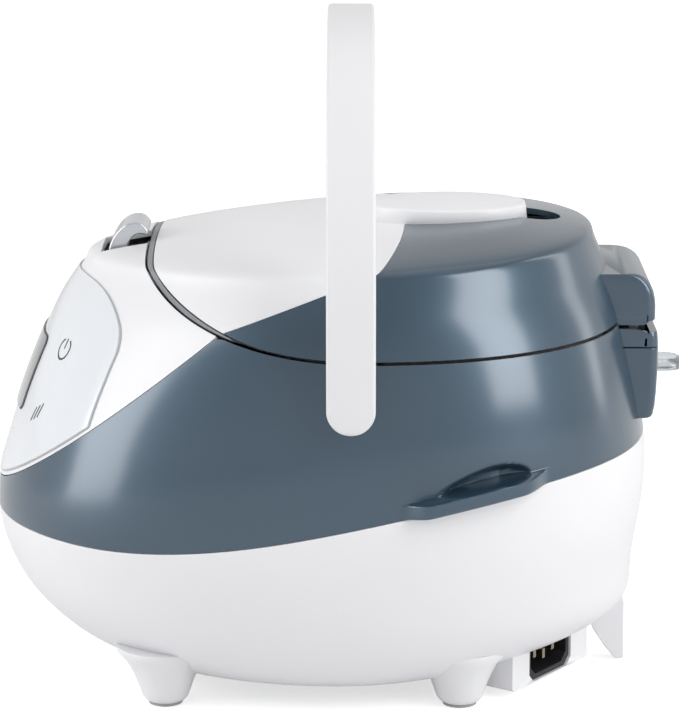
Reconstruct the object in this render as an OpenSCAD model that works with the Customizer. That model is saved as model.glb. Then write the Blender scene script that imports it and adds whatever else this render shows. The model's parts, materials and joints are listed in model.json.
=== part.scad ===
// Small egg-shaped electric rice cooker with a hinged lid and a swinging carry handle.
// Millimetres. +Z up, front faces -Y, origin on the floor under the middle of the cooker.

/* [Body] */
// Overall width of the body without the handle
body_w = 227; // [225:0.5:228]
// Reach of the body in front of the origin
front_reach = 143; // [142:0.5:144]
// Reach of the body behind the origin, at its fullest height
rear_reach = 127.5; // [127:0.5:128]
// Thickness of the moulded outer shells
wall = 2.4; // [2:0.1:2.6]
// Forward lean of the shoulder: rise per millimetre of depth
shoulder_lean = 0.05; // [0.045:0.005:0.055]

/* [Lid] */
// Height of the straight part of the lid joint
joint_z = 153; // [152.75:0.25:153.5]
// Gap between the lid and the body along that joint
joint_gap = 1; // [0.8:0.1:1.2]
// Height of the steam cap's flat top
cap_top_z = 198; // [197.75:0.25:199]

/* [Pot] */
// Outer radius of the inner pot's wall
pot_r = 80; // [78:0.5:80.5]
// Distance of the pot's centre behind the origin
pot_y = 18; // [17.5:0.25:18.5]
// Height of the pot's outside bottom above the floor
pot_floor_z = 58.3; // [58.1:0.1:59]
// Height of the deck that carries the pot's flange
deck_z = 150; // [149.5:0.25:150.5]
// Thickness of the pot's sheet
pot_sheet = 1.6; // [1.2:0.1:2]

/* [Handle] */
// Height of the handle's pivots
pivot_z = 137.5; // [136:0.5:139]
// Distance of the pivots behind the origin
pivot_y = 5; // [4:0.5:6]
// Height of the top of the upright handle
handle_top_z = 277.5; // [275:0.5:280]
// Width of the handle's flat band
band_w = 19; // [17:0.5:20]
// Thickness of the band
band_t = 5.4; // [4.5:0.1:5.6]

/* [Hinge] */
// Distance of the lid's hinge pin behind the origin
hinge_y = 120.5; // [120.2:0.1:120.8]
// Height of the hinge pin
hinge_z = 151; // [150.7:0.1:151.2]
// Radius of the hinge pin
hinge_pin_r = 2; // [1.8:0.1:2.2]
// Width of the hinge housing at the back
hinge_w = 62; // [60:0.5:64]

/* [Feet] */
// Radius of a foot where it meets the floor
foot_r = 10; // [9:0.5:11]
// Height of a rubber foot pad under the moulded foot
pad_h = 1.2; // [1:0.1:1.5]

/* [Hidden] */
$fn = 64;

white = [0.93, 0.93, 0.94];
blue = [0.36, 0.46, 0.54];
grey = [0.55, 0.57, 0.60];
dark = [0.12, 0.12, 0.13];
silver = [0.75, 0.77, 0.80];
steel = [0.70, 0.70, 0.72];
rubber = [0.20, 0.20, 0.20];
board_green = [0.10, 0.35, 0.20];

// ---- The outer skin -------------------------------------------------------------------
// Each row is one level of the body: height, half width, reach to the front, reach to the
// back, the place of its widest point, and how square its front and back halves are.
kx = body_w / 227;
kf = front_reach / 143;
kr = rear_reach / 127.5;
cap_y = 43.5;
levels = [
    [9.5, 60, 80, 62, 0, 2.0, 2.0],
    [12, 73, 92, 76, -1, 2.0, 2.0],
    [20, 84, 110, 102, -3, 2.0, 2.0],
    [33, 95, 125, 120.5, -6, 2.05, 2.1],
    [50, 104.5, 136.5, 123.2, -8, 2.1, 2.2],
    [75, 112, 143, 126.5, -8, 2.1, 2.3],
    [100, 113.5, 137.8, 127.5, -6, 2.1, 2.3],
    [128, 111, 129, 122.5, 0, 2.1, 2.3],
    [155, 104.5, 119, 115.5, 6, 2.0, 2.2],
    [170, 96.5, 111.5, 109.5, 11, 1.9, 2.1],
    [180.5, 89.5, 104.5, 105, 14, 1.8, 2.1],
    [185, 83.5, 98, 101, 16, 1.8, 2.0],
    [188.2, 62, 64, 84, 28, 1.9, 2.0],
    [190.3, 36, 18, 68, 38, 2.0, 2.0],
    [191.2, 0, -43.5, 43.5, 43.5, 2.0, 2.0]
];
top_t = len(levels) - 1;

function smooth(u) = let(v = max(0, min(1, u))) v * v * (3 - 2 * v);
function mix(a, b, u) = a + (b - a) * u;
function unit(v) = v / max(norm(v), 1e-9);

// A smooth curve through a column of the level table
function through(a, b, c, d, u) =
    0.5 * (2 * b + (c - a) * u + (2 * a - 5 * b + 4 * c - d) * u * u
        + (3 * b - a - 3 * c + d) * u * u * u);

function level(t) =
    let(i = max(0, min(top_t - 1, floor(t))), u = t - i,
        a = levels[max(0, i - 1)], b = levels[i], c = levels[i + 1],
        d = levels[min(top_t, i + 2)])
    [for (k = [0 : 6]) through(a[k], b[k], c[k], d[k], u)];

// A point on the skin: angle a runs from +X (0) to the back (90); t runs up the levels
function skin(a, t) =
    let(s = level(t), c = cos(a), q = sin(a), back = q > 0,
        e = 2 / (back ? s[6] : s[5]),
        reach = back ? s[3] * kr - s[4] : s[2] * kf + s[4],
        x = kx * s[1] * sign(c) * pow(abs(c), e),
        y = s[4] + reach * sign(q) * pow(abs(q), e),
        lean = shoulder_lean * smooth((s[0] - 110) / 70))
    [x, y, s[0] + lean * y];

function skin_normal(a, t) =
    let(h = 0.03, lo = max(0, t - h), hi = min(top_t - 0.02, t + h),
        along = skin(a + 1, t) - skin(a - 1, t), up = skin(a, hi) - skin(a, lo))
    unit(cross(along, up));

// The same point moved out of the body by d, or into it where d is negative
function skin_at(a, t, d) = skin(a, t) + d * skin_normal(a, t);

// Halving search: f is positive at lo and negative at hi
function solve(f, lo, hi, n = 20) =
    let(m = (lo + hi) / 2)
    n == 0 ? m : f(m) > 0 ? solve(f, m, hi, n - 1) : solve(f, lo, m, n - 1);

// ---- Parting lines, each a rule for a point of the side view ---------------------------
// Lower joint: white bowl below, blue band above
function bowl_line(y) = 74 + 31.5 * smooth((y + 107) / 232);
// Slanting joint between the blue band and the white front
function bib_line(y) = 162.5 + 0.8 * (y + 45);
// Lid joint: straight at the sides and back, and an ellipse quarter round the front.
// The value is above 0 on the body and below 0 on the lid, g inside the joint.
nose_y = 10;
nose_rise = 34;
nose_reach = 89;
function lid_rule(y, z, g) =
    y > nose_y ? (joint_z + g - z) / nose_rise
    : pow((nose_y - y) / (nose_reach - g), 2)
        + pow(max(0, joint_z + nose_rise - z) / (nose_rise - g), 2) - 1;
// Joint between the lid's white front and blue back
function lid_split(z) =
    z < 185 ? -45 + (z - 162) * 60.5 / 23 : 15.5 + (z - 185) * 1.6;

function t_bowl(a, dz) = solve(function(t) let(p = skin(a, t)) bowl_line(p[1]) + dz - p[2], 2, 8.5);
function t_bib(a, dz) = solve(function(t) let(p = skin(a, t)) bib_line(p[1]) + dz - p[2], 4, 11.5);
function t_lid(a, g) = solve(function(t) let(p = skin(a, t)) lid_rule(p[1], p[2], g), 6.5, 12.9);

// Opening in the lid's top: an oval under the steam cap and a scoop behind it
cap_rx = 23.5;
cap_ry = 35;
rim_lap = 2.2;
scoop_y = 79;
scoop_rx = 12;
scoop_ry = 12.5;
function oval(x, y, cy, rx, ry) = pow(x / rx, 2) + pow((y - cy) / ry, 2) - 1;
function top_hole(x, y, g) =
    min(oval(x, y, cap_y, cap_rx - rim_lap - g, cap_ry - rim_lap - g),
        oval(x, y, scoop_y, scoop_rx - g, scoop_ry - g));
function t_hole(a) = solve(function(t) let(p = skin(a, t)) top_hole(p[0], p[1], 0), 10, top_t - 0.05);

// ---- Solids from two matching grids of points ------------------------------------------
// outer and inner are lists of rows; ring closes the rows on themselves.
module slab(outer, inner, ring = false) {
    m = len(outer);
    n = len(outer[0]);
    last = ring ? n : n - 1;
    points = concat([for (r = outer) for (p = r) p], [for (r = inner) for (p = r) p]);
    back = m * n;
    function at(i, j) = i * n + (j % n);
    faces = concat(
        [for (i = [0 : m - 2]) for (j = [0 : last - 1])
            each [[at(i, j), at(i + 1, j), at(i + 1, j + 1)], [at(i, j), at(i + 1, j + 1), at(i, j + 1)]]],
        [for (i = [0 : m - 2]) for (j = [0 : last - 1])
            each [[back + at(i, j), back + at(i + 1, j + 1), back + at(i + 1, j)],
                [back + at(i, j), back + at(i, j + 1), back + at(i + 1, j + 1)]]],
        [for (j = [0 : last - 1])
            each [[at(0, j), at(0, j + 1), back + at(0, j + 1)],
                [at(0, j), back + at(0, j + 1), back + at(0, j)],
                [at(m - 1, j + 1), at(m - 1, j), back + at(m - 1, j)],
                [at(m - 1, j + 1), back + at(m - 1, j), back + at(m - 1, j + 1)]]],
        ring ? [] : [for (i = [0 : m - 2])
            each [[at(i + 1, 0), at(i, 0), back + at(i, 0)],
                [at(i + 1, 0), back + at(i, 0), back + at(i + 1, 0)],
                [at(i, n - 1), at(i + 1, n - 1), back + at(i + 1, n - 1)],
                [at(i, n - 1), back + at(i + 1, n - 1), back + at(i, n - 1)]]]);
    polyhedron(points, faces, convexity = 8);
}

// A shell between two levels that may differ at every angle
function shell_grid(angles, lo, hi, rows, d) =
    [for (i = [0 : rows]) [for (k = [0 : len(angles) - 1])
        skin_at(angles[k], mix(lo[k], hi[k], i / rows), d)]];
module shell(angles, lo, hi, rows, d_out, d_in, ring = false) {
    slab(shell_grid(angles, lo, hi, rows, d_out), shell_grid(angles, lo, hi, rows, d_in), ring);
}

ring_steps = 60;
ring_angles = [for (i = [0 : ring_steps - 1]) -90 + i * 360 / ring_steps];
function spread(a, b, n) = [for (i = [0 : n]) mix(a, b, i / n)];

// Where the bib's slanting joint runs into the lid joint
bib_end = solve(function(a) t_lid(a, 0) - t_bib(a, 0) - 0.08, -89, -5);

module at_pot() translate([0, pot_y, 0]) children();
module along_x(x0, x1, r) translate([x0, 0, 0]) rotate([0, 90, 0]) cylinder(r = r, h = x1 - x0);

// ---- Bowl and base ---------------------------------------------------------------------
foot_spots = [[57.5, -71], [-57.5, -71], [59, 49.5], [-59, 49.5]];
boss_spots = [[38, -48], [-38, -48], [34, 30], [-34, 30]];
base_z = levels[0][0];
base_t = 2;
inlet_mid = [33, 88.2];
inlet_turn = -35.7;
inlet_z = 11.6;
inlet_w = 31.5;
inlet_h = 15;
block_w = 58;
block_deep = 27;
block_low = 3.5;
block_h = 21;
module at_inlet() translate([inlet_mid[0], inlet_mid[1], inlet_z]) rotate([0, 0, inlet_turn]) children();

module foot(p) {
    hull() {
        translate([p[0], p[1], pad_h]) cylinder(r = foot_r - 2.5, h = 0.5, $fn = 28);
        translate([p[0], p[1], pad_h + 2]) cylinder(r = foot_r, h = 0.5, $fn = 28);
        translate([p[0], p[1], 19.5]) cylinder(r = foot_r + 6, h = 0.5, $fn = 28);
    }
}

module inlet_shape(grow) {
    w = inlet_w / 2 + grow;
    h = inlet_h / 2 + grow;
    c = 3.5;
    polygon([[-w, h], [-w, -h + c], [-w + c, -h], [w - c, -h], [w, -h + c], [w, h]]);
}

// The bowl's outside as one solid, 0.12 mm larger, for trimming what grows out of it
module bowl_solid() {
    rows = [for (i = [0 : 7]) [for (a = ring_angles) skin_at(a, i * 0.55, 0.12)]];
    n = ring_steps;
    m = len(rows);
    points = concat([for (r = rows) each r], [[0, 0, rows[0][0][2]], [0, 0, rows[m - 1][0][2]]]);
    faces = concat(
        [for (i = [0 : m - 2]) for (j = [0 : n - 1]) let(k = (j + 1) % n)
            each [[i * n + j, (i + 1) * n + j, (i + 1) * n + k], [i * n + j, (i + 1) * n + k, i * n + k]]],
        [for (j = [0 : n - 1]) let(k = (j + 1) % n)
            each [[j, k, m * n], [(m - 1) * n + k, (m - 1) * n + j, m * n + 1]]]);
    polyhedron(points, faces, convexity = 2);
}

module lower_housing() {
    color(white) difference() {
        union() {
            shell(ring_angles, [for (a = ring_angles) 0], [for (a = ring_angles) t_bowl(a, -0.1)],
                9, 0, -wall, true);
            for (p = boss_spots) hull() {
                translate([p[0], p[1], base_z + base_t + 0.1]) cylinder(r = 4, h = 1, $fn = 24);
                translate([p[0], p[1], base_z + base_t + 9]) cylinder(r = 3.4, h = 1, $fn = 24);
            }
            // a rib ties each screw boss to the bowl's wall
            for (p = boss_spots) hull() {
                translate([p[0], p[1], base_z + base_t + 4]) cylinder(r = 1.2, h = 4, $fn = 12);
                translate([sign(p[0]) * (p[1] < 0 ? 72 : 77), p[1], base_z + base_t + 8])
                    cylinder(r = 1.2, h = 4, $fn = 12);
            }
        }
        inlet_room();
    }
}

// Room for the inlet's body and its mouth, open to the inside of the bowl
module inlet_room() {
    at_inlet() rotate([90, 0, 0]) translate([0, 0, -5]) linear_extrude(15) inlet_shape(0.3);
    at_inlet() translate([-18, -25, 5.5 - inlet_z]) cube([36, 21, 25]);
}

module feet() {
    color(white) difference() {
        for (p = foot_spots) foot(p);
        bowl_solid();
    }
}

// Block that frames the mains inlet
module inlet_block() {
    color(white) difference() {
        at_inlet() translate([-block_w / 2, -block_deep, block_low - inlet_z])
            cube([block_w, block_deep, block_h]);
        inlet_room();
        bowl_solid();
    }
}

// Stabilising fin under the back
module rear_fin() {
    color(white) difference() {
        hull() {
            translate([-5, 103, 22]) cube([10, 18, 8]);
            translate([-4.5, 117.5, 1]) cube([9, 3.5, 4]);
        }
        bowl_solid();
    }
}

module base_plate() {
    color(grey) difference() {
        translate([0, 0, base_z]) linear_extrude(base_t) difference() {
            polygon([for (a = ring_angles) let(p = skin_at(a, 0, -wall - 0.4)) [p[0], p[1]]]);
            for (p = boss_spots) translate(p) circle(r = 1.8);
            // cooling slots in two groups
            for (sx = [-1, 1]) for (i = [0 : 6]) translate([sx * 24, -30 + i * 7])
                square([20, 3], center = true);
        }
        at_inlet() translate([-block_w / 2 - 1, -34, -20]) cube([block_w + 2, 60, 60]);
    }
}

module foot_pads() {
    color(rubber) for (p = foot_spots) translate([p[0], p[1], 0]) cylinder(r = foot_r - 3, h = pad_h);
}

module base_screws() {
    color(steel) for (p = boss_spots) translate([p[0], p[1], base_z]) {
        translate([0, 0, -1.6]) cylinder(r = 3.2, h = 1.6);
        cylinder(r = 1.5, h = base_t + 0.1);
    }
}

// ---- Blue band and its grips -----------------------------------------------------------
notch_half = hinge_w / 2 + 0.8;
notch_z = 141;
notch_a = solve(function(a) skin(a, 7.6)[0] - notch_half, 45, 90);
band_angles = concat(
    spread(-90, bib_end, 9), spread(bib_end + 3, notch_a - 0.6, 17), spread(notch_a, 180 - notch_a, 5),
    spread(180.6 - notch_a, 177 - bib_end, 17), spread(180 - bib_end, 264, 8));
function band_top(a) =
    (a >= notch_a - 0.1 && a <= 180.1 - notch_a)
    ? solve(function(t) notch_z - skin(a, t)[2], 5, 10)
    : min(t_lid(a, 0), t_bib(a, -0.1));

stud_r = 4;
stud_in = 104;
module at_pivot() translate([0, pivot_y, pivot_z]) children();
module upper_housing() {
    color(blue) difference() {
        shell(band_angles, [for (a = band_angles) t_bowl(a, 0.1)], [for (a = band_angles) band_top(a)],
            7, 0, -wall, true);
        at_pivot() for (sx = [-1, 1]) along_x(sx * stud_in - 20, sx * stud_in + 20, stud_r + 0.02);
    }
}

grip_from = 11;
grip_to = 38;
grip_h = 6;
grip_out = 8;
function grip_row(i, d) =
    [for (a = spread(grip_from, grip_to, 12))
        let(t0 = t_bowl(a, 0.4), u = (a - grip_from) / (grip_to - grip_from),
            t1 = t_bowl(a, grip_h), bulge = 0.3 + grip_out * smooth(2.2 * u) * smooth(2.2 * (1 - u)))
        skin_at(a, mix(t0, t1, i / 3), d > 0 ? bulge * (1 - 0.25 * pow(i / 3, 2)) : 0.05)];
module grip_lips() {
    color(blue) for (side = [0, 1]) mirror([side, 0, 0])
        slab([for (i = [0 : 3]) grip_row(i, 1)], [for (i = [0 : 3]) grip_row(i, 0)]);
}

// ---- White front and its controls ------------------------------------------------------
well_half = 14;
well_front = -99;
well_a = solve(function(a) well_half - skin(a, 11.5)[0], -89, -40);
front_angles = concat(
    spread(-180 - bib_end, -180 - well_a - 0.8, 10), spread(-180 - well_a, well_a, 6),
    spread(well_a + 0.8, bib_end, 10));
function front_top(a) =
    abs(a + 90) <= well_a + 90.05
    ? solve(function(t) well_front - skin(a, t)[1], 8, 12.8)
    : t_lid(a, 0);
module front_fascia() {
    color(white)
    shell(front_angles, [for (a = front_angles) t_bib(a, 0.1)], [for (a = front_angles) front_top(a)],
        10, 0, -wall);
}

panel_turn = 42.5;
panel_angles = spread(-90 - panel_turn, -90 + panel_turn, 20);
panel_t = 0.8;
panel_top = 9.6;
module control_panel() {
    color([0.90, 0.92, 0.94])
    shell(panel_angles, [for (a = panel_angles) t_bib(a, 1.5)],
        [for (a = panel_angles) panel_top - 1.5 * pow((a + 90) / panel_turn, 4)], 9, panel_t, 0.12);
}

window_turn = 14;
module display_window() {
    angles = spread(-90 - window_turn, -90 + window_turn, 8);
    color([0.45, 0.50, 0.55])
    shell(angles, [for (a = angles) 6.62], [for (a = angles) 7.85], 4, panel_t + 0.3, panel_t + 0.12);
}

slope = 24.5;
board_mid = [0, -106, 135];
module at_board() translate(board_mid) rotate([-slope, 0, 0]) children();
module control_board() {
    color(board_green) at_board() translate([-42, -0.8, -25]) cube([84, 1.6, 50]);
}
module display_module() {
    color(dark) at_board() translate([-27, -5.9, -17]) cube([54, 5, 34]);
}
module key_switches() {
    color(dark) at_board() for (sx = [-1, 1]) for (k = [-1 : 1])
        translate([sx * 35, -0.9, k * 14]) rotate([90, 0, 0]) cylinder(r = 3, h = 4);
}

// ---- Release button --------------------------------------------------------------------
well_back = -81.4;
well_floor = 160;
button_half = 12.5;
module button_well() {
    color(dark) difference() {
        translate([-well_half + 0.4, well_front + 0.6, well_floor])
            cube([2 * well_half - 0.8, well_back - well_front - 1.2, 15]);
        translate([-well_half + 1.4, well_front + 1.6, well_floor + 1.5])
            cube([2 * well_half - 2.8, well_back - well_front - 3.2, 20]);
    }
}
// Side view of the button: a blade that rises over the deck towards the lid
module release_button() {
    color(silver) translate([-button_half + 1, 0, 0]) rotate([90, 0, 90]) linear_extrude(2 * button_half - 2)
        difference() {
            polygon([[-95.5, 176], [-95.8, 180], [-93.5, 184.5], [-90, 188.8], [-86.5, 191],
                [-82.5, 190.4], [-79.6, 188], [-80, 186.2], [-84, 185.2], [-85, 183], [-85, 168],
                [-88.5, 168], [-91.5, 172]]);
            translate([-90.2, 178.2]) circle(r = 2.4);
        }
}
module button_spring() {
    color(steel) translate([0, -86.8, well_floor + 1.6]) difference() {
        cylinder(r = 2.6, h = 168 - well_floor - 1.7);
        translate([0, 0, -1]) cylinder(r = 1.9, h = 20);
    }
}

// Upright wall behind the nose that the lid's front closes against
wall_r = 97.4;
nose_turn = 62;
function nose_top(x, y) = solve(function(z) lid_rule(y, z, 0), 150, 187) - 4;
function nose_row(z0, r) =
    [for (a = spread(-90 - nose_turn, -90 + nose_turn, 20))
        let(x = r * cos(a), y = pot_y + r * sin(a))
        [x, y, z0 < 1 ? deck_z + 0.1 : min(nose_top(x, y), 178)]];
module nose_wall() {
    color(white) slab([nose_row(0, wall_r + 1.8), nose_row(1, wall_r + 1.8)],
        [nose_row(0, wall_r), nose_row(1, wall_r)]);
}

// ---- Deck, pot and heating -------------------------------------------------------------
deck_t = 2.5;
deck_hole_r = pot_r + 4;
liner_t = 0.8;
module top_deck() {
    color(white) translate([0, 0, deck_z - deck_t]) difference() {
        linear_extrude(deck_t) difference() {
            intersection() {
                polygon([for (a = ring_angles) let(p = skin_at(a, 8.05, -wall - 0.6)) [p[0], p[1]]]);
                translate([-120, -98]) square([240, 213.4]);
            }
            translate([0, pot_y]) circle(r = deck_hole_r);
        }
    }
}
module pot_liner() {
    r = pot_r + 3.4;
    color(steel) at_pot() rotate_extrude() polygon([
        [72.5, 38], [r + liner_t, 38], [r + liner_t, deck_z - deck_t - liner_t - 0.1],
        [r + 6, deck_z - deck_t - liner_t - 0.1], [r + 6, deck_z - deck_t - 0.1], [r, deck_z - deck_t - 0.1],
        [r, 38 + liner_t], [72.5, 38 + liner_t]]);
}
module warming_band() {
    color(dark) at_pot() translate([0, 0, 88]) difference() {
        cylinder(r = pot_r + 5.6, h = 24);
        translate([0, 0, -1]) cylinder(r = pot_r + 4.25, h = 26);
    }
}
module inner_pot() {
    r = pot_r;
    corner = 12;
    steps = 8;
    arc_out = [for (i = [0 : steps]) let(a = -90 + i * 90 / steps)
        [r - corner + corner * cos(a), pot_floor_z + corner + corner * sin(a)]];
    inside = corner - pot_sheet;
    arc_in = [for (i = [steps : -1 : 0]) let(a = -90 + i * 90 / steps)
        [r - corner + inside * cos(a), pot_floor_z + corner + inside * sin(a)]];
    color(steel) at_pot() rotate_extrude() polygon(concat(
        [[0, pot_floor_z]], arc_out, [[r, deck_z + 0.1], [r + 7, deck_z + 0.1], [r + 7, deck_z + 1.2],
        [r - pot_sheet, deck_z + 1.2]], arc_in, [[0, pot_floor_z + pot_sheet]]));
}
plate_top_z = 58;
sensor_bore_r = 15;
module heating_plate() {
    color(silver) at_pot() rotate_extrude() polygon([
        [sensor_bore_r, 49], [50, 49], [50, 44], [62, 44], [62, 49], [69, 49], [71, 51], [71, 56],
        [69, plate_top_z], [sensor_bore_r, plate_top_z]]);
}
module heater_terminals() {
    color(steel) at_pot() for (sx = [-1, 1]) translate([sx * 12, -56, 36]) {
        cylinder(r = 2.6, h = 8);
        translate([-3, -0.4, -8]) cube([6, 0.8, 8]);
    }
}
module plate_supports() {
    low = base_z + base_t;
    color(steel) at_pot() for (a = [30, 150, 270]) rotate(a) translate([44, 0, low])
        cylinder(r = 3, h = 49 - low);
}
module sensor_housing() {
    color(dark) at_pot() difference() {
        translate([0, 0, 28]) cylinder(r = 14.4, h = 17);
        translate([0, 0, 30]) cylinder(r = 12.4, h = 17);
    }
}
module temperature_sensor() {
    color(silver) at_pot() {
        translate([0, 0, 46]) cylinder(r = 12, h = 12.1);
        translate([0, 0, 42]) cylinder(r = 5, h = 4);
    }
}
module sensor_spring() {
    color(steel) at_pot() translate([0, 0, 30.1]) difference() {
        cylinder(r = 9.5, h = 15.8);
        translate([0, 0, -1]) cylinder(r = 8.3, h = 18);
    }
}

// ---- Electrics -------------------------------------------------------------------------
module power_board() {
    color(board_green) translate([-46, -88, 27]) difference() {
        cube([92, 30, 1.6]);
        for (x = [5, 87]) translate([x, 5, -1]) cylinder(r = 1.6, h = 4);
    }
}
module board_components() {
    translate([0, 0, 28.7]) {
        color([0.1, 0.25, 0.6]) translate([-38, -82, 0]) cube([19, 15, 15]);
        color(dark) translate([-8, -75, 0]) cylinder(r = 6, h = 16);
        color(dark) translate([8, -75, 0]) cylinder(r = 6, h = 16);
        color([0.8, 0.7, 0.2]) translate([20, -84, 0]) cube([18, 16, 14]);
    }
}
module thermal_fuse() {
    color(white) at_pot() translate([-38, 0, 46]) rotate([90, 0, 0]) translate([0, 0, -12])
        cylinder(r = 2.4, h = 24);
}
module ac_inlet() {
    color(dark) at_inlet() difference() {
        union() {
            rotate([90, 0, 0]) translate([0, 0, 0.6]) linear_extrude(3.2) inlet_shape(0);
            translate([-17.5, -24, -5.9]) cube([35, 19.8, 15]);
        }
        rotate([90, 0, 0]) translate([0, 0, -1]) linear_extrude(19) inlet_shape(-2.2);
    }
}
module inlet_pins() {
    color(steel) at_inlet() for (x = [-7, 0, 7]) translate([x - 1, -17.9, (x == 0 ? -1.5 : 0.5)])
        cube([2, 14.5, 4]);
}

// ---- Hinge -----------------------------------------------------------------------------
ear_r = 4.5;
module at_hinge() translate([0, hinge_y, hinge_z]) children();
module hinge_bracket() {
    color(dark) difference() {
        for (sx = [-1, 1]) {
            at_hinge() along_x(sx * 22 - 3, sx * 22 + 3, ear_r);
            translate([sx * 22 - 3, hinge_y - 3.5, 143]) cube([6, 8, hinge_z - 143]);
        }
        at_hinge() along_x(-40, 40, hinge_pin_r);
    }
    color(dark) translate([-25, hinge_y - 3.5, 141.4]) cube([50, 8, 1.7]);
}
module hinge_pin() {
    color(steel) at_hinge() along_x(-25, 25, hinge_pin_r);
}
module hinge_springs() {
    color(steel) at_hinge() for (sx = [-1, 1]) difference() {
        along_x(sx * 6 - 4, sx * 6 + 4, 3.6);
        along_x(sx * 6 - 5, sx * 6 + 5, 2.6);
    }
}
arm_low_z = 151.3;
arm_t = 2.4;
module lid_hinge_arms() {
    color(dark) difference() {
        for (sx = [-1, 1]) {
            at_hinge() along_x(sx * 15.3 - 3.2, sx * 15.3 + 3.2, ear_r);
            translate([sx * 15.3 - 3.2, pot_y + 89.1, arm_low_z]) cube([6.4, hinge_y - pot_y - 89.1, arm_t]);
            // riser that is fastened to the inner panel's edge
            translate([sx * 15.3 - 3.2, pot_y + 89.1, arm_low_z]) cube([6.4, 3, 3.8]);
        }
        at_hinge() along_x(-40, 40, hinge_pin_r + 0.05);
    }
}

collector_z = 128.5;
collector_t = 3;
tongue_half = 9;
tab_tip = front_reach;
// Cover that wraps the hinge on the body: a wedge outside the skin, thin where it faces the pin
cover_back = 130.5;
cover_heights = [113, 122, 136, 140.6, 149.3];
function cover_row(i, out) =
    [for (x = spread(-hinge_w / 2, hinge_w / 2, 8))
        let(z = cover_heights[i],
            t = solve(function(t) z - skin(90, t)[2], 4, 10),
            a = solve(function(a) skin(a, t)[0] - x, 20, 160),
            s = skin_at(a, t, 0.1),
            edge = pow(abs(x) / (hinge_w / 2), 4),
            back = cover_back - (i == 0 ? 1.6 : 0) - 2 * edge)
        [x, out ? max(s[1] + 0.8, back) : (i > 2 ? 126.4 - 0.2 * edge : s[1]), z]];
module hinge_cover() {
    rows = [0 : 4];
    color(blue) difference() {
        slab([for (i = rows) cover_row(i, false)], [for (i = rows) cover_row(i, true)]);
        // slot that holds the collector's tongue
        translate([-tongue_half - 0.35, cover_back - 4, collector_z - 0.35])
            cube([2 * tongue_half + 0.7, 8, collector_t + 0.7]);
    }
}

// Side view of the lid's hinge block: height, back face
block_rows = [[153.9, 128.6], [156.3, 129], [157.2, 129], [163, 128.8], [168.5, 127], [172, 123.5],
    [173.5, 118.5]];
pin_room_z = 156.6;
function block_row(i, out) =
    [for (x = spread(-hinge_w / 2, hinge_w / 2, 8))
        let(z = block_rows[i][0], edge = pow(abs(x) / (hinge_w / 2), 4),
            t = solve(function(t) z - skin(90, t)[2], 6, 12),
            a = solve(function(a) skin(a, t)[0] - x, 20, 160), s = skin_at(a, t, 0.1))
        [x, out ? block_rows[i][1] - 2.5 * edge : z < pin_room_z ? 126.2 - 2.5 * edge : s[1], z]];
module lid_hinge_block() {
    rows = [0 : len(block_rows) - 1];
    color(blue) slab([for (i = rows) block_row(i, false)], [for (i = rows) block_row(i, true)]);
}

// ---- Handle ----------------------------------------------------------------------------
handle_in = 112.6;
arch_power = 2.5;
function arch(half, top, n = 40) =
    [for (i = [0 : n]) let(a = 180 * i / n, c = cos(a), q = sin(a))
        [half * sign(c) * pow(abs(c), 2 / arch_power),
         pivot_z + (top - pivot_z) * pow(abs(q), 2 / arch_power)]];
module carry_handle() {
    band_mid = handle_in + band_t / 2;
    color(white) difference() {
        union() {
            translate([0, pivot_y + band_w / 2, 0]) rotate([90, 0, 0]) linear_extrude(band_w) difference() {
                polygon(arch(handle_in + band_t, handle_top_z));
                polygon(concat(arch(handle_in, handle_top_z - band_t),
                    [[-handle_in, pivot_z - 1], [handle_in, pivot_z - 1]]));
            }
            at_pivot() for (sx = [-1, 1])
                along_x(sx * band_mid - band_t / 2, sx * band_mid + band_t / 2, band_w / 2);
        }
        at_pivot() for (sx = [-1, 1])
            along_x(sx * handle_in - 4, sx * handle_in + 4, stud_r + 0.05);
    }
}
module pivot_studs() {
    half = (handle_in + 3.2 - stud_in) / 2;
    color(white) at_pivot() for (sx = [-1, 1])
        along_x(sx * (stud_in + half) - half, sx * (stud_in + half) + half, stud_r);
}

// ---- Condensate collector --------------------------------------------------------------
module dew_collector() {
    tip_r = 6;
    color([0.80, 0.88, 0.92, 0.5]) translate([0, 0, collector_z]) linear_extrude(collector_t) {
        hull() {
            translate([-11.5, cover_back + 0.4]) square([23, 1]);
            for (sx = [-1, 1]) translate([sx * 5.5, tab_tip - tip_r]) circle(r = tip_r, $fn = 32);
        }
        translate([-tongue_half, cover_back - 3.6]) square([2 * tongue_half, 5]);
    }
}

// ---- Lid -------------------------------------------------------------------------------
function cover_gap(y) = joint_gap + 0.2 + 2.4 * smooth((-y - 25) / 45);
function t_cover(a) = solve(function(t) let(p = skin(a, t)) lid_rule(p[1], p[2], cover_gap(p[1])), 6.5, 12.9);
function lid_point(a, s, d) = skin_at(a, mix(t_cover(a), t_hole(a), s), d);
function split_angle(s) =
    solve(function(a) let(p = skin(a, mix(t_cover(a), t_hole(a), s))) lid_split(p[2]) - p[1], -88, 88, 16);
lid_rows = 12;
split_at = [for (i = [0 : lid_rows]) split_angle(i / lid_rows)];
module lid_cover_front() {
    n = 24;
    grid = function(d) [for (i = [0 : lid_rows]) [for (k = [0 : n])
        lid_point(-90 + (-1 + 2 * k / n) * (split_at[i] + 89.8), i / lid_rows, d)]];
    color(white) slab(grid(0), grid(-wall));
}
module lid_cover_rear() {
    n = 28;
    grid = function(d) [for (i = [0 : lid_rows]) [for (k = [0 : n])
        lid_point(90 + (-1 + 2 * k / n) * (89.8 - split_at[i]), i / lid_rows, d)]];
    color(blue) slab(grid(0), grid(-wall));
}

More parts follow.
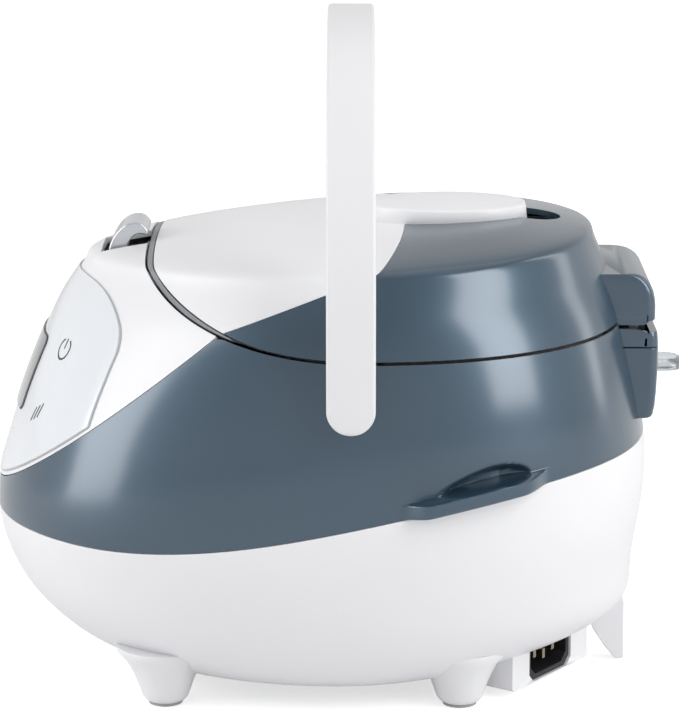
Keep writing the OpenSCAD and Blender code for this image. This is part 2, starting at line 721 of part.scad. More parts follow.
// Grey frame under the covers: its edge shows as a band round the front of the lid
frame_r = 96;
frame_low_r = 91;
frame_low_z = 155.2;
function frame_side(y, g) = max(joint_z + g, solve(function(z) lid_rule(y, z, g), 150, 189));
function frame_rows(a, up) =
    let(p = skin_at(a, t_lid(a, joint_gap), up ? -wall - 0.1 : -0.3), e = atan2(p[1] - pot_y, p[0]),
        in = up ? 1.6 : 0, r = min(frame_r, norm([p[0], p[1] - pot_y]) - 3), my = pot_y + r * sin(e))
    [p + [0, 0, up ? 1.2 : 0],
     [(r - in) * cos(e), my + in * -sin(e), max(frame_low_z + 0.6, frame_side(my, joint_gap)) + in],
     [(frame_low_r - in) * cos(e), pot_y + (frame_low_r - in) * sin(e), frame_low_z + in]];
module lid_frame() {
    low = [for (a = ring_angles) frame_rows(a, false)];
    high = [for (a = ring_angles) frame_rows(a, true)];
    color(grey) slab([for (k = [0 : 2]) [for (c = high) c[k]]],
        [for (k = [0 : 2]) [for (c = low) c[k]]], true);
}

module lid_inner_panel() {
    color(grey) difference() {
        at_pot() translate([0, 0, 154]) cylinder(r = 89, h = 2.4);
        translate([0, cap_y, 150]) cylinder(r = 15.3, h = 10);
    }
}
module inner_lid_plate() {
    color(silver) difference() {
        at_pot() translate([0, 0, 152.2]) cylinder(r = 79.5, h = 1.2);
        translate([0, cap_y, 150]) for (i = [0 : 7]) rotate(i * 45) translate([8, 0, 0])
            cylinder(r = 1.8, h = 6);
        translate([0, cap_y, 150]) cylinder(r = 3, h = 6);
    }
}
module lid_gasket() {
    color([0.85, 0.85, 0.85]) at_pot() rotate_extrude()
        polygon([[80, 151.9], [82.4, 151.5], [86, 151.5], [87.4, 153], [87.4, 153.9], [80, 153.9]]);
}
module steam_duct() {
    color(grey) translate([0, cap_y, 0]) difference() {
        translate([0, 0, 153.6]) cylinder(r = 15, h = 26.8);
        translate([0, 0, 150]) cylinder(r = 13.2, h = 40);
    }
}
tray_floor = 180.5;
// Points of an oval with half axes rx and ry whose middle is at y
function ring(rx, ry, y, n) = [for (i = [0 : n - 1]) let(a = i * 360 / n) [rx * cos(a), y + ry * sin(a)]];
module tray_shape(g) {
    polygon(ring(cap_rx - rim_lap - g, cap_ry - rim_lap - g, cap_y, 48));
    polygon(ring(scoop_rx - g, scoop_ry - g, scoop_y, 24));
}
module steam_tray() {
    color(dark) difference() {
        translate([0, 0, tray_floor]) linear_extrude(9) tray_shape(0.8);
        translate([0, 0, tray_floor + 1.6]) linear_extrude(10) tray_shape(2.2);
        translate([0, cap_y, tray_floor - 1]) cylinder(r = 5, h = 5);
    }
}
// The cap's oval is cut straight here, so the scoop behind it stays open
cap_cut = 77.5;
module steam_vent_cap() {
    color(white) {
        translate([0, 0, cap_top_z - 2.4]) linear_extrude(2.4)
            polygon([for (p = ring(cap_rx, cap_ry, cap_y, 60)) [p[0], min(p[1], cap_cut)]]);
        translate([0, 0, 184.2]) linear_extrude(cap_top_z - 2.4 - 184.2)
            polygon(ring(cap_rx - 5.6, cap_ry - 5.6, cap_y, 48));
    }
}
module cap_seal() {
    color([0.85, 0.85, 0.85]) translate([0, cap_y, 182.3]) difference() {
        cylinder(r = 9, h = 1.8);
        translate([0, 0, -1]) cylinder(r = 6, h = 4);
    }
}
module lid_catch() {
    color(dark) translate([-9, -69.4, 158.4]) cube([18, 3, 12]);
}
module lid_screws() {
    color(steel) at_pot() for (a = [45, 135, 225, 315]) rotate(a) translate([84.2, 0, 156.5]) {
        cylinder(r = 1.5, h = 7);
    }
}

lower_housing();
feet();
inlet_block();
rear_fin();
base_plate();
foot_pads();
base_screws();
upper_housing();
grip_lips();
front_fascia();
control_panel();
display_window();
display_module();
control_board();
key_switches();
button_well();
nose_wall();
top_deck();
pot_liner();
warming_band();
heating_plate();
heater_terminals();
plate_supports();
sensor_housing();
sensor_spring();
temperature_sensor();
inner_pot();
power_board();
board_components();
thermal_fuse();
ac_inlet();
inlet_pins();
hinge_bracket();
hinge_pin();
hinge_springs();
hinge_cover();
pivot_studs();
carry_handle();
release_button();
button_spring();
dew_collector();
lid_cover_front();
lid_cover_rear();
lid_hinge_block();
lid_hinge_arms();
lid_frame();
lid_inner_panel();
inner_lid_plate();
lid_gasket();
lid_catch();
lid_screws();
steam_tray();
steam_duct();
steam_vent_cap();
cap_seal();
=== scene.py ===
# %% Load the frame
import json
import math

import bmesh
import bpy
import numpy as np
from mathutils import Matrix, Vector


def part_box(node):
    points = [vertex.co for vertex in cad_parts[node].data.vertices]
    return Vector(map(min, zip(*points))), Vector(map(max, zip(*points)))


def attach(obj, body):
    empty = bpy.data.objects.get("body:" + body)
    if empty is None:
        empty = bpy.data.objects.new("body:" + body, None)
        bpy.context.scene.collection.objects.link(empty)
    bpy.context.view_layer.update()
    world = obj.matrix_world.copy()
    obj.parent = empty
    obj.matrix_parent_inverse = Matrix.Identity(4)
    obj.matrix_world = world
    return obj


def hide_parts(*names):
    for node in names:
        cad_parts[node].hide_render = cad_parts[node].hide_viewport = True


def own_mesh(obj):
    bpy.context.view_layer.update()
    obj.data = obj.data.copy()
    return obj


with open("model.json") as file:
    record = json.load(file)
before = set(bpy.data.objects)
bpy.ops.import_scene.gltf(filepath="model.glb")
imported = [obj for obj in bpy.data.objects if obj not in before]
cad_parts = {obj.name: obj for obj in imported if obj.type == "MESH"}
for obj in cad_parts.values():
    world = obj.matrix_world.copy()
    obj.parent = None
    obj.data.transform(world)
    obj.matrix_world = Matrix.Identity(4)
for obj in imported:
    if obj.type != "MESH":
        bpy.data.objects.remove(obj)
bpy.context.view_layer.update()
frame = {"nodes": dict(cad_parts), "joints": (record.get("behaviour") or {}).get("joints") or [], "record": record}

MM = 0.001
record = frame["record"]

# %% [markdown]
# # A small egg-shaped rice cooker
#
# The cooker is a white bowl, a lacquered band above it, a white front with a control panel,
# and a domed lid that is part white and part lacquered. A flat handle stands over it.
# Bowl, band, front, panel and lid covers all lie on **one** smooth skin, and only the lines
# where it is cut differ. So this file first writes the skin as a function, and then cuts
# pieces from it. That is how a designer would do it: one surface, several parting lines.
# Handle, lever, steam cap and hinge housing have outlines of their own and come after it.
# Lengths are in millimetres until a mesh is made, because the rules read more easily that way.


# %% Sizes taken from the frame
def size_of(*nodes):
    """Lowest and highest corners of some CAD nodes, in millimetres."""
    boxes = [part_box(n) for n in nodes]
    low = np.min([np.array(b[0]) for b in boxes], axis=0) / MM
    high = np.max([np.array(b[1]) for b in boxes], axis=0) / MM
    return low, high


bowl_low, bowl_high = size_of("lower_housing")
deck_z = size_of("top_deck")[1][2]
cap_low, cap_high = size_of("steam_vent_cap")
HALF_WIDTH = size_of("upper_housing")[1][0]
FRONT_REACH = -bowl_low[1]
REAR_REACH = bowl_high[1]
WALL = 2.4                # thickness of the mouldings
print("half width", round(HALF_WIDTH, 1), "front", round(FRONT_REACH, 1), "rear", round(REAR_REACH, 1))

# %% [markdown]
# ## Camera, light and floor
#
# The view is square on to the right side, a little from above. A long lens keeps the
# outline calm, and a small shift frames the tall handle without tilting the camera further.
# The floor is one pale sheet that reaches far past the view. Light comes from the bright
# surroundings, from one soft box overhead and from three tall ones, which draw broad
# vertical gleams on the lacquer.

# %% Camera
ELEVATION = math.radians(14.5)
DISTANCE = 1.35
AIM = Vector((0.0, 0.005, 0.100))
SENSOR_WIDTH = 36.0
FOCAL_SHARE = 4.732       # focal length over sensor width
SHIFT_X, SHIFT_Y = -0.0169, 0.1013

camera_data = bpy.data.cameras.new("camera")
camera_data.sensor_fit = "HORIZONTAL"
camera_data.sensor_width = SENSOR_WIDTH
camera_data.lens = SENSOR_WIDTH * FOCAL_SHARE
camera_data.shift_x = SHIFT_X
camera_data.shift_y = SHIFT_Y
camera = bpy.data.objects.new("camera", camera_data)
bpy.context.scene.collection.objects.link(camera)
camera.location = AIM + DISTANCE * Vector((math.cos(ELEVATION), 0.0, math.sin(ELEVATION)))
camera.rotation_euler = (AIM - camera.location).to_track_quat("-Z", "Y").to_euler()
bpy.context.scene.camera = camera
bpy.context.scene.view_settings.view_transform = "Standard"
print("camera", [round(c, 3) for c in camera.location], "lens", round(camera_data.lens, 1))


# %% Soft boxes
def soft_box(name, place, aim, width, height, watts):
    """A rectangular light that faces the point aim."""
    light = bpy.data.lights.new(name, "AREA")
    light.shape = "RECTANGLE"
    light.size = width
    light.size_y = height
    light.energy = watts
    lamp = bpy.data.objects.new(name, light)
    lamp.location = place
    lamp.rotation_euler = (Vector(aim) - Vector(place)).to_track_quat("-Z", "Y").to_euler()
    bpy.context.scene.collection.objects.link(lamp)
    return lamp


soft_box("front_box", (0.38, -1.75, 0.85), (0, 0, 0.12), 0.90, 1.9, 20)
soft_box("rear_box", (0.96, 1.50, 1.12), (0, 0, 0.12), 0.85, 1.9, 23)
soft_box("back_box", (-0.62, 1.70, 0.90), (0, 0, 0.12), 0.30, 1.9, 4)
soft_box("top_box", (-0.3, 0.0, 1.7), (0, 0, 0.1), 1.6, 1.6, 3)

# %% Surroundings and floor
HORIZON_LIGHT, ZENITH_LIGHT, SEEN_LIGHT = 0.70, 0.40, 1.1
HORIZON_AT, ZENITH_AT = 0.15, 0.9          # where the fade starts and ends, as an upward share
PAPER_GLOW, PAPER_GLOW_SEEN = 0.10, 0.62


def dial(node, values):
    """Sets several inputs of a node by name."""
    for label, value in values.items():
        node.inputs[label].default_value = value


def cables(tree, *ends):
    """Links sockets. Every entry is (node, output, node, input)."""
    for source, output, target, place in ends:
        tree.links.new(source.outputs[output], target.inputs[place])


world = bpy.data.worlds.new("studio")
bpy.context.scene.world = world
world.use_nodes = True
nodes = world.node_tree.nodes
direction = nodes.new("ShaderNodeTexCoord")
split = nodes.new("ShaderNodeSeparateXYZ")
fade = nodes.new("ShaderNodeMapRange")
dial(fade, {"From Min": HORIZON_AT, "From Max": ZENITH_AT, "To Min": HORIZON_LIGHT, "To Max": ZENITH_LIGHT})
# the camera sees plain white, while the object is lit by the softer fade
seen = nodes.new("ShaderNodeLightPath")
choose = nodes.new("ShaderNodeMix")
dial(choose, {"B": SEEN_LIGHT})
sky = nodes["Background"]
dial(sky, {"Color": (1.0, 1.0, 1.0, 1.0)})
cables(world.node_tree, (direction, "Generated", split, 0), (split, "Z", fade, "Value"),
       (seen, "Is Camera Ray", choose, "Factor"), (fade, "Result", choose, "A"),
       (choose, "Result", sky, "Strength"))

bpy.ops.mesh.primitive_plane_add(size=12.0, location=(0, 0, 0))
floor = bpy.context.object
floor.name = "floor"
floor_look = bpy.data.materials.new("floor_paper")
floor_look.use_nodes = True
paper = floor_look.node_tree.nodes["Principled BSDF"]
dial(paper, {"Base Color": (0.74, 0.74, 0.75, 1), "Roughness": 0.7, "Specular IOR Level": 0.1,
             "Emission Color": (1, 1, 1, 1)})
# the paper glows strongly only where the camera looks straight at it, so it stays plain white
paper_light = floor_look.node_tree.nodes.new("ShaderNodeLightPath")
glow = floor_look.node_tree.nodes.new("ShaderNodeMapRange")
dial(glow, {"To Min": PAPER_GLOW, "To Max": PAPER_GLOW_SEEN})
cables(floor_look.node_tree, (paper_light, "Is Camera Ray", glow, "Value"),
       (glow, "Result", paper, "Emission Strength"))
floor.data.materials.append(floor_look)
print("floor, sky and four soft boxes made")

# %% [markdown]
# ## Finishes
#
# No real surface is one flat colour. Three small effects are shared by all finishes, and
# each is a node group that is built once:
#
# - **moulded_grain** gives the faint orange peel of moulded or sprayed plastic, as a height;
# - **handling** gives broad soft patches where hands and cloths have changed the shine;
# - **edge_wear** finds convex edges, which rub lighter, with the Pointiness of the mesh.
#
# A group only puts out masks and heights. The shader stays in the material.


# %% Shared effects as node groups
GRAIN_SCALE, FINE_SCALE, FINE_SHARE = 900.0, 4200.0, 0.35
PATCH_SCALE = 14.0
WORN_FROM, WORN_TO = 0.56, 0.66            # Pointiness of an edge as wear begins, and fully worn


def new_group(name, inputs, outputs):
    """An empty shader group with named float sockets."""
    group = bpy.data.node_groups.new(name, "ShaderNodeTree")
    for label, default in inputs:
        socket = group.interface.new_socket(name=label, in_out="INPUT", socket_type="NodeSocketFloat")
        socket.default_value = default
    for label in outputs:
        group.interface.new_socket(name=label, in_out="OUTPUT", socket_type="NodeSocketFloat")
    entry = group.nodes.new("NodeGroupInput")
    out = group.nodes.new("NodeGroupOutput")
    return group, entry, out


def noise(tree, scale, detail, rough=0.5):
    """A noise texture on Object coordinates. Returns the texture node."""
    place = tree.nodes.new("ShaderNodeTexCoord")
    node = tree.nodes.new("ShaderNodeTexNoise")
    node.inputs["Detail"].default_value = detail
    node.inputs["Roughness"].default_value = rough
    if scale is not None:
        node.inputs["Scale"].default_value = scale
    tree.links.new(place.outputs["Object"], node.inputs["Vector"])
    return node


grain_group, entry, out = new_group("moulded_grain", [("Scale", GRAIN_SCALE), ("Fine", FINE_SHARE)],
                                    ["Height"])
coarse = noise(grain_group, None, 3.0)
fine = noise(grain_group, FINE_SCALE, 2.0)
blend = grain_group.nodes.new("ShaderNodeMix")
cables(grain_group, (entry, "Scale", coarse, "Scale"), (entry, "Fine", blend, "Factor"),
       (coarse, "Fac", blend, "A"), (fine, "Fac", blend, "B"), (blend, "Result", out, "Height"))

handling_group, entry, out = new_group("handling", [("Scale", PATCH_SCALE)], ["Patches"])
patches = noise(handling_group, None, 2.0)
wide = handling_group.nodes.new("ShaderNodeMapRange")
dial(wide, {"From Min": 0.20, "From Max": 0.80})
cables(handling_group, (entry, "Scale", patches, "Scale"), (patches, "Fac", wide, "Value"),
       (wide, "Result", out, "Patches"))

wear_group, entry, out = new_group("edge_wear", [("Reach", WORN_FROM)], ["Mask"])
shape = wear_group.nodes.new("ShaderNodeNewGeometry")
edge = wear_group.nodes.new("ShaderNodeMapRange")
dial(edge, {"From Max": WORN_TO})
breaks = noise(wear_group, 160.0, 4.0, 0.7)
product = wear_group.nodes.new("ShaderNodeMath")
product.operation = "MULTIPLY"
cables(wear_group, (entry, "Reach", edge, "From Min"), (shape, "Pointiness", edge, "Value"),
       (edge, "Result", product, 0), (breaks, "Fac", product, 1), (product, "Value", out, "Mask"))
print("node groups:", [g.name for g in bpy.data.node_groups])


# %% One recipe for every finish
COLOUR_A, COLOUR_B, COLOUR_OUT = 6, 7, 2   # the colour sockets of a Mix node
GRAIN_DEPTH = 0.0005                       # metres


def add_group(tree, group, **values):
    node = tree.nodes.new("ShaderNodeGroup")
    node.node_tree = group
    dial(node, values)
    return node


def mix_colour(tree, factor, first, second):
    """Mixes two colours by a mask. first may be a colour or a socket."""
    node = tree.nodes.new("ShaderNodeMix")
    node.data_type = "RGBA"
    tree.links.new(factor, node.inputs["Factor"])
    if isinstance(first, tuple):
        node.inputs[COLOUR_A].default_value = (*first, 1)
    else:
        tree.links.new(first, node.inputs[COLOUR_A])
    node.inputs[COLOUR_B].default_value = (*second, 1)
    return node.outputs[COLOUR_OUT]


def finish(name, colour, shade, worn, rough=(0.3, 0.4), metal=0.0, coat=0.0, coat_rough=0.05,
           coat_ior=1.5, grain=GRAIN_SCALE, bump=0.02, wear=0.25, clear=0.0):
    """A material with patches of a second shade, worn edges, uneven shine and a fine grain."""
    look = bpy.data.materials.new(name)
    look.use_nodes = True
    tree = look.node_tree
    shader = tree.nodes["Principled BSDF"]
    touch = add_group(tree, handling_group, Scale=PATCH_SCALE)
    rub = add_group(tree, wear_group)
    skin_grain = add_group(tree, grain_group, Scale=grain)
    soft = tree.nodes.new("ShaderNodeMath")
    soft.operation = "MULTIPLY"
    soft.inputs[1].default_value = wear
    base = mix_colour(tree, touch.outputs["Patches"], colour, shade)
    base = mix_colour(tree, soft.outputs["Value"], base, worn)
    tree.links.new(base, shader.inputs["Base Color"])
    shine = tree.nodes.new("ShaderNodeMapRange")
    dial(shine, {"To Min": rough[0], "To Max": rough[1]})
    height = tree.nodes.new("ShaderNodeBump")
    dial(height, {"Strength": bump, "Distance": GRAIN_DEPTH})
    cables(tree, (rub, "Mask", soft, 0), (touch, "Patches", shine, "Value"),
           (shine, "Result", shader, "Roughness"), (skin_grain, "Height", height, "Height"),
           (height, "Normal", shader, "Normal"))
    dial(shader, {"Metallic": metal, "Coat Weight": coat, "Coat Roughness": coat_rough,
                  "Coat IOR": coat_ior, "Specular IOR Level": 0.5, "Transmission Weight": clear,
                  "IOR": 1.45})
    return look


white = finish("gloss_white", (0.815, 0.815, 0.830), (0.807, 0.808, 0.824), (0.86, 0.86, 0.86),
               rough=(0.26, 0.36), bump=0.05, grain=700.0, wear=0.3)
# the handle's white: a little rougher than the gloss white, and darker as painted shade, because the soft boxes
# light the handle head on
shaded_handle_white = finish("satin_white", (0.770, 0.770, 0.782), (0.762, 0.763, 0.775), (0.82, 0.82, 0.82),
               rough=(0.34, 0.44), bump=0.05, grain=700.0, wear=0.3)
lacquer = finish("blue_grey_lacquer", (0.034, 0.074, 0.115), (0.031, 0.069, 0.108), (0.12, 0.18, 0.23),
                 rough=(0.34, 0.40), metal=0.45, coat=1.0, coat_rough=0.18, coat_ior=1.65,
                 bump=0.03, grain=1100.0, wear=0.25)
frame_grey = finish("frame_grey", (0.27, 0.28, 0.295), (0.24, 0.25, 0.265), (0.4, 0.4, 0.4),
                    rough=(0.38, 0.5), bump=0.08)
black = finish("satin_black", (0.012, 0.012, 0.014), (0.018, 0.018, 0.02), (0.06, 0.06, 0.06),
               rough=(0.35, 0.5), bump=0.12, grain=1400.0)
silver = finish("silver_lacquer", (0.64, 0.66, 0.70), (0.60, 0.62, 0.66), (0.8, 0.8, 0.82),
                rough=(0.22, 0.3), metal=0.75, coat=0.6, bump=0.03)
film = finish("panel_film", (0.765, 0.785, 0.815), (0.75, 0.77, 0.80), (0.85, 0.86, 0.87),
              rough=(0.12, 0.20), coat=0.5, bump=0.02, wear=0.1)
film_edge = finish("panel_edge", (0.46, 0.48, 0.50), (0.43, 0.45, 0.47), (0.6, 0.6, 0.6),
                   rough=(0.25, 0.35), bump=0.02)
screen = finish("display_lens", (0.30, 0.302, 0.305), (0.28, 0.282, 0.285), (0.4, 0.4, 0.4),
                rough=(0.08, 0.14), coat=1.0, coat_rough=0.02, bump=0.01)
ink = finish("printed_ink", (0.055, 0.06, 0.07), (0.045, 0.05, 0.06), (0.12, 0.12, 0.13),
             rough=(0.4, 0.5), bump=0.05)
steel = finish("steel", (0.50, 0.50, 0.51), (0.43, 0.43, 0.45), (0.7, 0.7, 0.7),
               rough=(0.28, 0.42), metal=1.0, bump=0.10, grain=2200.0)
aluminium = finish("aluminium", (0.66, 0.67, 0.68), (0.60, 0.61, 0.62), (0.8, 0.8, 0.8),
                   rough=(0.30, 0.45), metal=1.0, bump=0.12, grain=1800.0)
coating = finish("pot_coating", (0.030, 0.030, 0.032), (0.045, 0.045, 0.047), (0.12, 0.12, 0.12),
                 rough=(0.32, 0.45), bump=0.2, grain=1600.0)
# brass kept far darker than real brass: painted shade for the pins deep inside the inlet's mouth
brass = finish("brass", (0.34, 0.30, 0.22), (0.30, 0.26, 0.19), (0.6, 0.55, 0.4),
               rough=(0.2, 0.32), metal=1.0, bump=0.05)
rubber = finish("rubber", (0.40, 0.40, 0.405), (0.36, 0.36, 0.365), (0.5, 0.5, 0.5),
                rough=(0.75, 0.9), bump=0.3, grain=1200.0)
silicone = finish("silicone", (0.62, 0.62, 0.60), (0.56, 0.56, 0.54), (0.7, 0.7, 0.68),
                  rough=(0.45, 0.6), bump=0.1)
board = finish("circuit_board", (0.020, 0.12, 0.055), (0.016, 0.10, 0.045), (0.3, 0.25, 0.1),
               rough=(0.3, 0.45), coat=0.3, bump=0.15, grain=500.0)
wrap = finish("heater_wrap", (0.09, 0.035, 0.022), (0.07, 0.03, 0.02), (0.15, 0.08, 0.06),
              rough=(0.6, 0.75), bump=0.25, grain=1500.0)
ceramic = finish("ceramic", (0.70, 0.69, 0.65), (0.64, 0.63, 0.59), (0.8, 0.8, 0.78),
                 rough=(0.5, 0.65), bump=0.15)
clear = finish("clear_plastic", (0.90, 0.95, 0.97), (0.86, 0.92, 0.95), (0.95, 0.97, 0.98),
               rough=(0.04, 0.10), clear=0.92, bump=0.02, wear=0.1)
print(len(bpy.data.materials), "materials in the file")

# %% [markdown]
# ## The skin
#
# The skin is a stack of rounded outlines, from the bottom of the bowl to the top of the
# dome. Each row below is one outline: its height, its half width, how far it reaches to the
# front and the rear, where it is widest, and how square its two halves are. Heights between
# rows come from a natural cubic curve through them. Its curvature never jumps, and that
# matters on glossy lacquer, where every jump would show as a kink in a reflection.

# %% Outlines of the skin
LEVELS = np.array([
    # height, half width, front, rear, widest at, squareness front, squareness rear
    [9.5, 60, 80, 62, 0, 2.0, 2.0],
    [12, 73, 92, 76, -1, 2.0, 2.0],
    [20, 84, 110, 102, -3, 2.0, 2.0],
    [33, 95, 125, 120.5, -6, 2.05, 2.1],
    [50, 104.5, 136.5, 123.2, -8, 2.1, 2.2],
    [75, 112, 143, 126.5, -8, 2.1, 2.3],
    [100, 113.5, 137.8, 127.5, -6, 2.1, 2.3],
    [128, 111, 129, 122.5, 0, 2.1, 2.3],
    [155, 104.5, 119, 115.5, 6, 2.0, 2.2],
    [170, 96.5, 111.5, 109.5, 11, 1.9, 2.1],
    [180.5, 89.5, 104.5, 105, 14, 1.8, 2.1],
    [185, 83.5, 98, 101, 16, 1.8, 2.0],
    [188.2, 62, 64, 84, 28, 1.9, 2.0],
    [190.3, 36, 18, 68, 38, 2.0, 2.0],
    [191.2, 0, -43.5, 43.5, 43.5, 2.0, 2.0]])
HIGH, HALF, FRONT, REAR, WIDEST, FRONT_POWER, REAR_POWER = range(7)     # the columns
TOP = len(LEVELS) - 1
LEAN, LEAN_FROM, LEAN_OVER = 0.05, 110, 70     # the upper outlines tilt, higher at the rear
WIDEN = HALF_WIDTH / LEVELS[:, HALF].max()
FORWARD = FRONT_REACH / LEVELS[:, FRONT].max()
BACKWARD = REAR_REACH / LEVELS[:, REAR].max()


def bends(rows):
    """Second differences of the natural cubic curve through equally spaced rows."""
    n = len(rows)
    system = np.eye(n)
    wanted = np.zeros_like(rows)
    for i in range(1, n - 1):
        system[i, i - 1:i + 2] = 1, 4, 1
        wanted[i] = 6 * (rows[i + 1] - 2 * rows[i] + rows[i - 1])
    return np.linalg.solve(system, wanted)


BENDS = bends(LEVELS)


def cubic(rows, second, t):
    """The natural cubic curve through rows. t counts rows, and second is bends(rows)."""
    i = np.clip(np.floor(t).astype(int), 0, len(rows) - 2)
    u = (t - i)[..., None]
    v = 1 - u
    return v * rows[i] + u * rows[i + 1] + ((v ** 3 - v) * second[i] + (u ** 3 - u) * second[i + 1]) / 6


def smooth(u):
    v = np.clip(u, 0, 1)
    return v * v * (3 - 2 * v)


def skin(a, t):
    """Points on the skin. Angle a runs from +X (0) to the back (90), and t counts LEVELS."""
    a, t = np.broadcast_arrays(np.asarray(a, float), np.asarray(t, float))
    s = cubic(LEVELS, BENDS, t)
    c, q = np.cos(np.radians(a)), np.sin(np.radians(a))
    back = q > 0
    power = 2 / np.where(back, s[..., REAR_POWER], s[..., FRONT_POWER])
    reach = np.where(back, s[..., REAR] * BACKWARD - s[..., WIDEST], s[..., FRONT] * FORWARD + s[..., WIDEST])
    x = WIDEN * s[..., HALF] * np.sign(c) * np.abs(c) ** power
    y = s[..., WIDEST] + reach * np.sign(q) * np.abs(q) ** power
    lean = LEAN * smooth((s[..., HIGH] - LEAN_FROM) / LEAN_OVER)
    return np.stack([x, y, s[..., HIGH] + lean * y], -1)


def unit(v):
    return v / np.maximum(np.linalg.norm(v, axis=-1, keepdims=True), 1e-9)


def skin_at(a, t, d=0.0):
    """The skin moved outwards by d millimetres."""
    a, t = np.broadcast_arrays(np.asarray(a, float), np.asarray(t, float))
    low, high = np.clip(t - 0.03, 0, TOP), np.clip(t + 0.03, 0, TOP - 0.02)
    along = skin(a + 1, t) - skin(a - 1, t)
    up = skin(a, high) - skin(a, low)
    return skin(a, t) + np.asarray(d)[..., None] * unit(np.cross(along, up))


def halve(rule, low, high, steps=36):
    """Where rule changes sign: positive at low and negative at high."""
    low, high = np.array(low, float), np.array(high, float)
    for _ in range(steps):
        middle = (low + high) / 2
        above = rule(middle) > 0
        low, high = np.where(above, middle, low), np.where(above, high, middle)
    return (low + high) / 2


print("the skin at its widest:", skin(0.0, 6.0).round(1))

# %% [markdown]
# ## Parting lines
#
# Nearly every seam is a rule for a point of the side view. The height where the skin meets
# the rule is found by halving, for all angles at once. The lid's seam runs level round the
# sides, and sweeps up over the front as a quarter of an ellipse. Only the opening under the
# steam cap is a rule seen from above: one oval for the cap and a small one for the scoop.

# %% Rules of the seams
JOINT_Z = 153.0
JOINT_GAP = 1.0
NOSE_Y, NOSE_RISE, NOSE_REACH = 10, 34, 89
CAP_Y, CAP_RX, CAP_RY = 43.5, 23.5, 35
CAP_LAP = 2.2
SCOOP_Y, SCOOP_RX, SCOOP_RY = 79, 12, 12.5
SEAM = 0.18               # half of an ordinary seam's width


def bowl_line(y):
    """The seam between bowl and band: low in front, high at the rear."""
    return 74 + 31.5 * smooth((y + 107) / 232)


def bib_line(y):
    """The slanting seam under the white front."""
    return 162.5 + 0.8 * (y + 45)


def lid_rule(y, z, g):
    """Positive below the lid's seam, negative above it. g moves the seam up and back."""
    side = (JOINT_Z + g - z) / NOSE_RISE
    back = (NOSE_Y - y) / (NOSE_REACH - g)
    drop = np.maximum(0, JOINT_Z + NOSE_RISE - z) / (NOSE_RISE - g)
    return np.where(y > NOSE_Y, side, back ** 2 + drop ** 2 - 1)


def lid_split(z):
    """The seam between the white and the lacquered part of the lid."""
    return np.where(z < 185, -45 + (z - 162) * 60.5 / 23, 15.5 + (z - 185) * 1.6)


def oval(x, y, cy, rx, ry):
    return (x / rx) ** 2 + ((y - cy) / ry) ** 2 - 1


def along_skin(a, rule, low, high):
    """Stack position on each angle a where rule(point) falls below nothing."""
    a = np.asarray(a, float)

    def at(t):
        p = skin(a, t)
        return rule(p[..., 0], p[..., 1], p[..., 2])
    return halve(at, np.full(a.shape, low), np.full(a.shape, high))


def t_bowl(a, dz=0.0):
    return along_skin(a, lambda x, y, z: bowl_line(y) + dz - z, 2, 8.5)


def t_bib(a, dz=0.0):
    return along_skin(a, lambda x, y, z: bib_line(y) + dz - z, 4, 11.5)


def t_lid(a, g):
    return along_skin(a, lambda x, y, z: lid_rule(y, z, g), 6.5, 12.9)


def cover_gap(y):
    return JOINT_GAP + 0.2 + 2.4 * smooth((-y - 25) / 45)


def t_cover(a, more=0.0):
    return along_skin(a, lambda x, y, z: lid_rule(y, z, cover_gap(y) + more), 6.5, 12.9)


def t_hole(a):
    def rule(x, y, z):
        return np.minimum(oval(x, y, CAP_Y, CAP_RX - CAP_LAP, CAP_RY - CAP_LAP),
                          oval(x, y, SCOOP_Y, SCOOP_RX, SCOOP_RY))
    return along_skin(a, rule, 10, TOP - 0.05)


bib_end = float(halve(lambda a: t_lid(a, 0) - t_bib(a) - 0.08, np.array(-89.0), np.array(-5.0)))
print("the white front ends at", round(bib_end, 1), "degrees")


# %% [markdown]
# ## From grids of points to walls
#
# A moulded shell has an outside, an inside and a rim. `wall` takes two matching grids of
# points, joins them into one closed mesh, and leaves a live Bevel modifier on the rim: a
# real moulding never has a knife edge, and the tiny round is what catches the light.

# %% Mesh helpers
def cleaned(name, points, faces, merge=1e-6):
    """A mesh in metres from points in millimetres, with doubles merged and normals outwards."""
    mesh = bpy.data.meshes.new(name)
    mesh.from_pydata((np.asarray(points, float) * MM).tolist(), [], [tuple(f) for f in faces])
    work = bmesh.new()
    work.from_mesh(mesh)
    bmesh.ops.remove_doubles(work, verts=work.verts, dist=merge)
    bmesh.ops.recalc_face_normals(work, faces=work.faces)
    work.to_mesh(mesh)
    work.free()
    return mesh


def make(name, points, faces, look, body, **more):
    """A piece from points and faces, with its finish and its place in the frame."""
    return place(name, cleaned(name, points, faces), look, body, **more)


def place(name, mesh, look, body, replaces=(), slot=None, bevel=0.0, angle=50, segments=3):
    """Smooth shading, a live Bevel on the sharp edges, the piece's body, and the CAD parts it hides."""
    mesh.materials.clear()
    mesh.materials.append(look)
    mesh.shade_smooth()
    mesh.set_sharp_from_angle(angle=math.radians(angle))
    piece = bpy.data.objects.new(name, mesh)
    bpy.context.scene.collection.objects.link(piece)
    if bevel:
        rim = piece.modifiers.new("rim", "BEVEL")
        rim.width = bevel * MM
        rim.segments = segments
        rim.limit_method = "ANGLE"
        rim.angle_limit = math.radians(angle)
        rim.harden_normals = True
    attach(piece, body)
    if replaces:
        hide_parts(*replaces)
    return piece


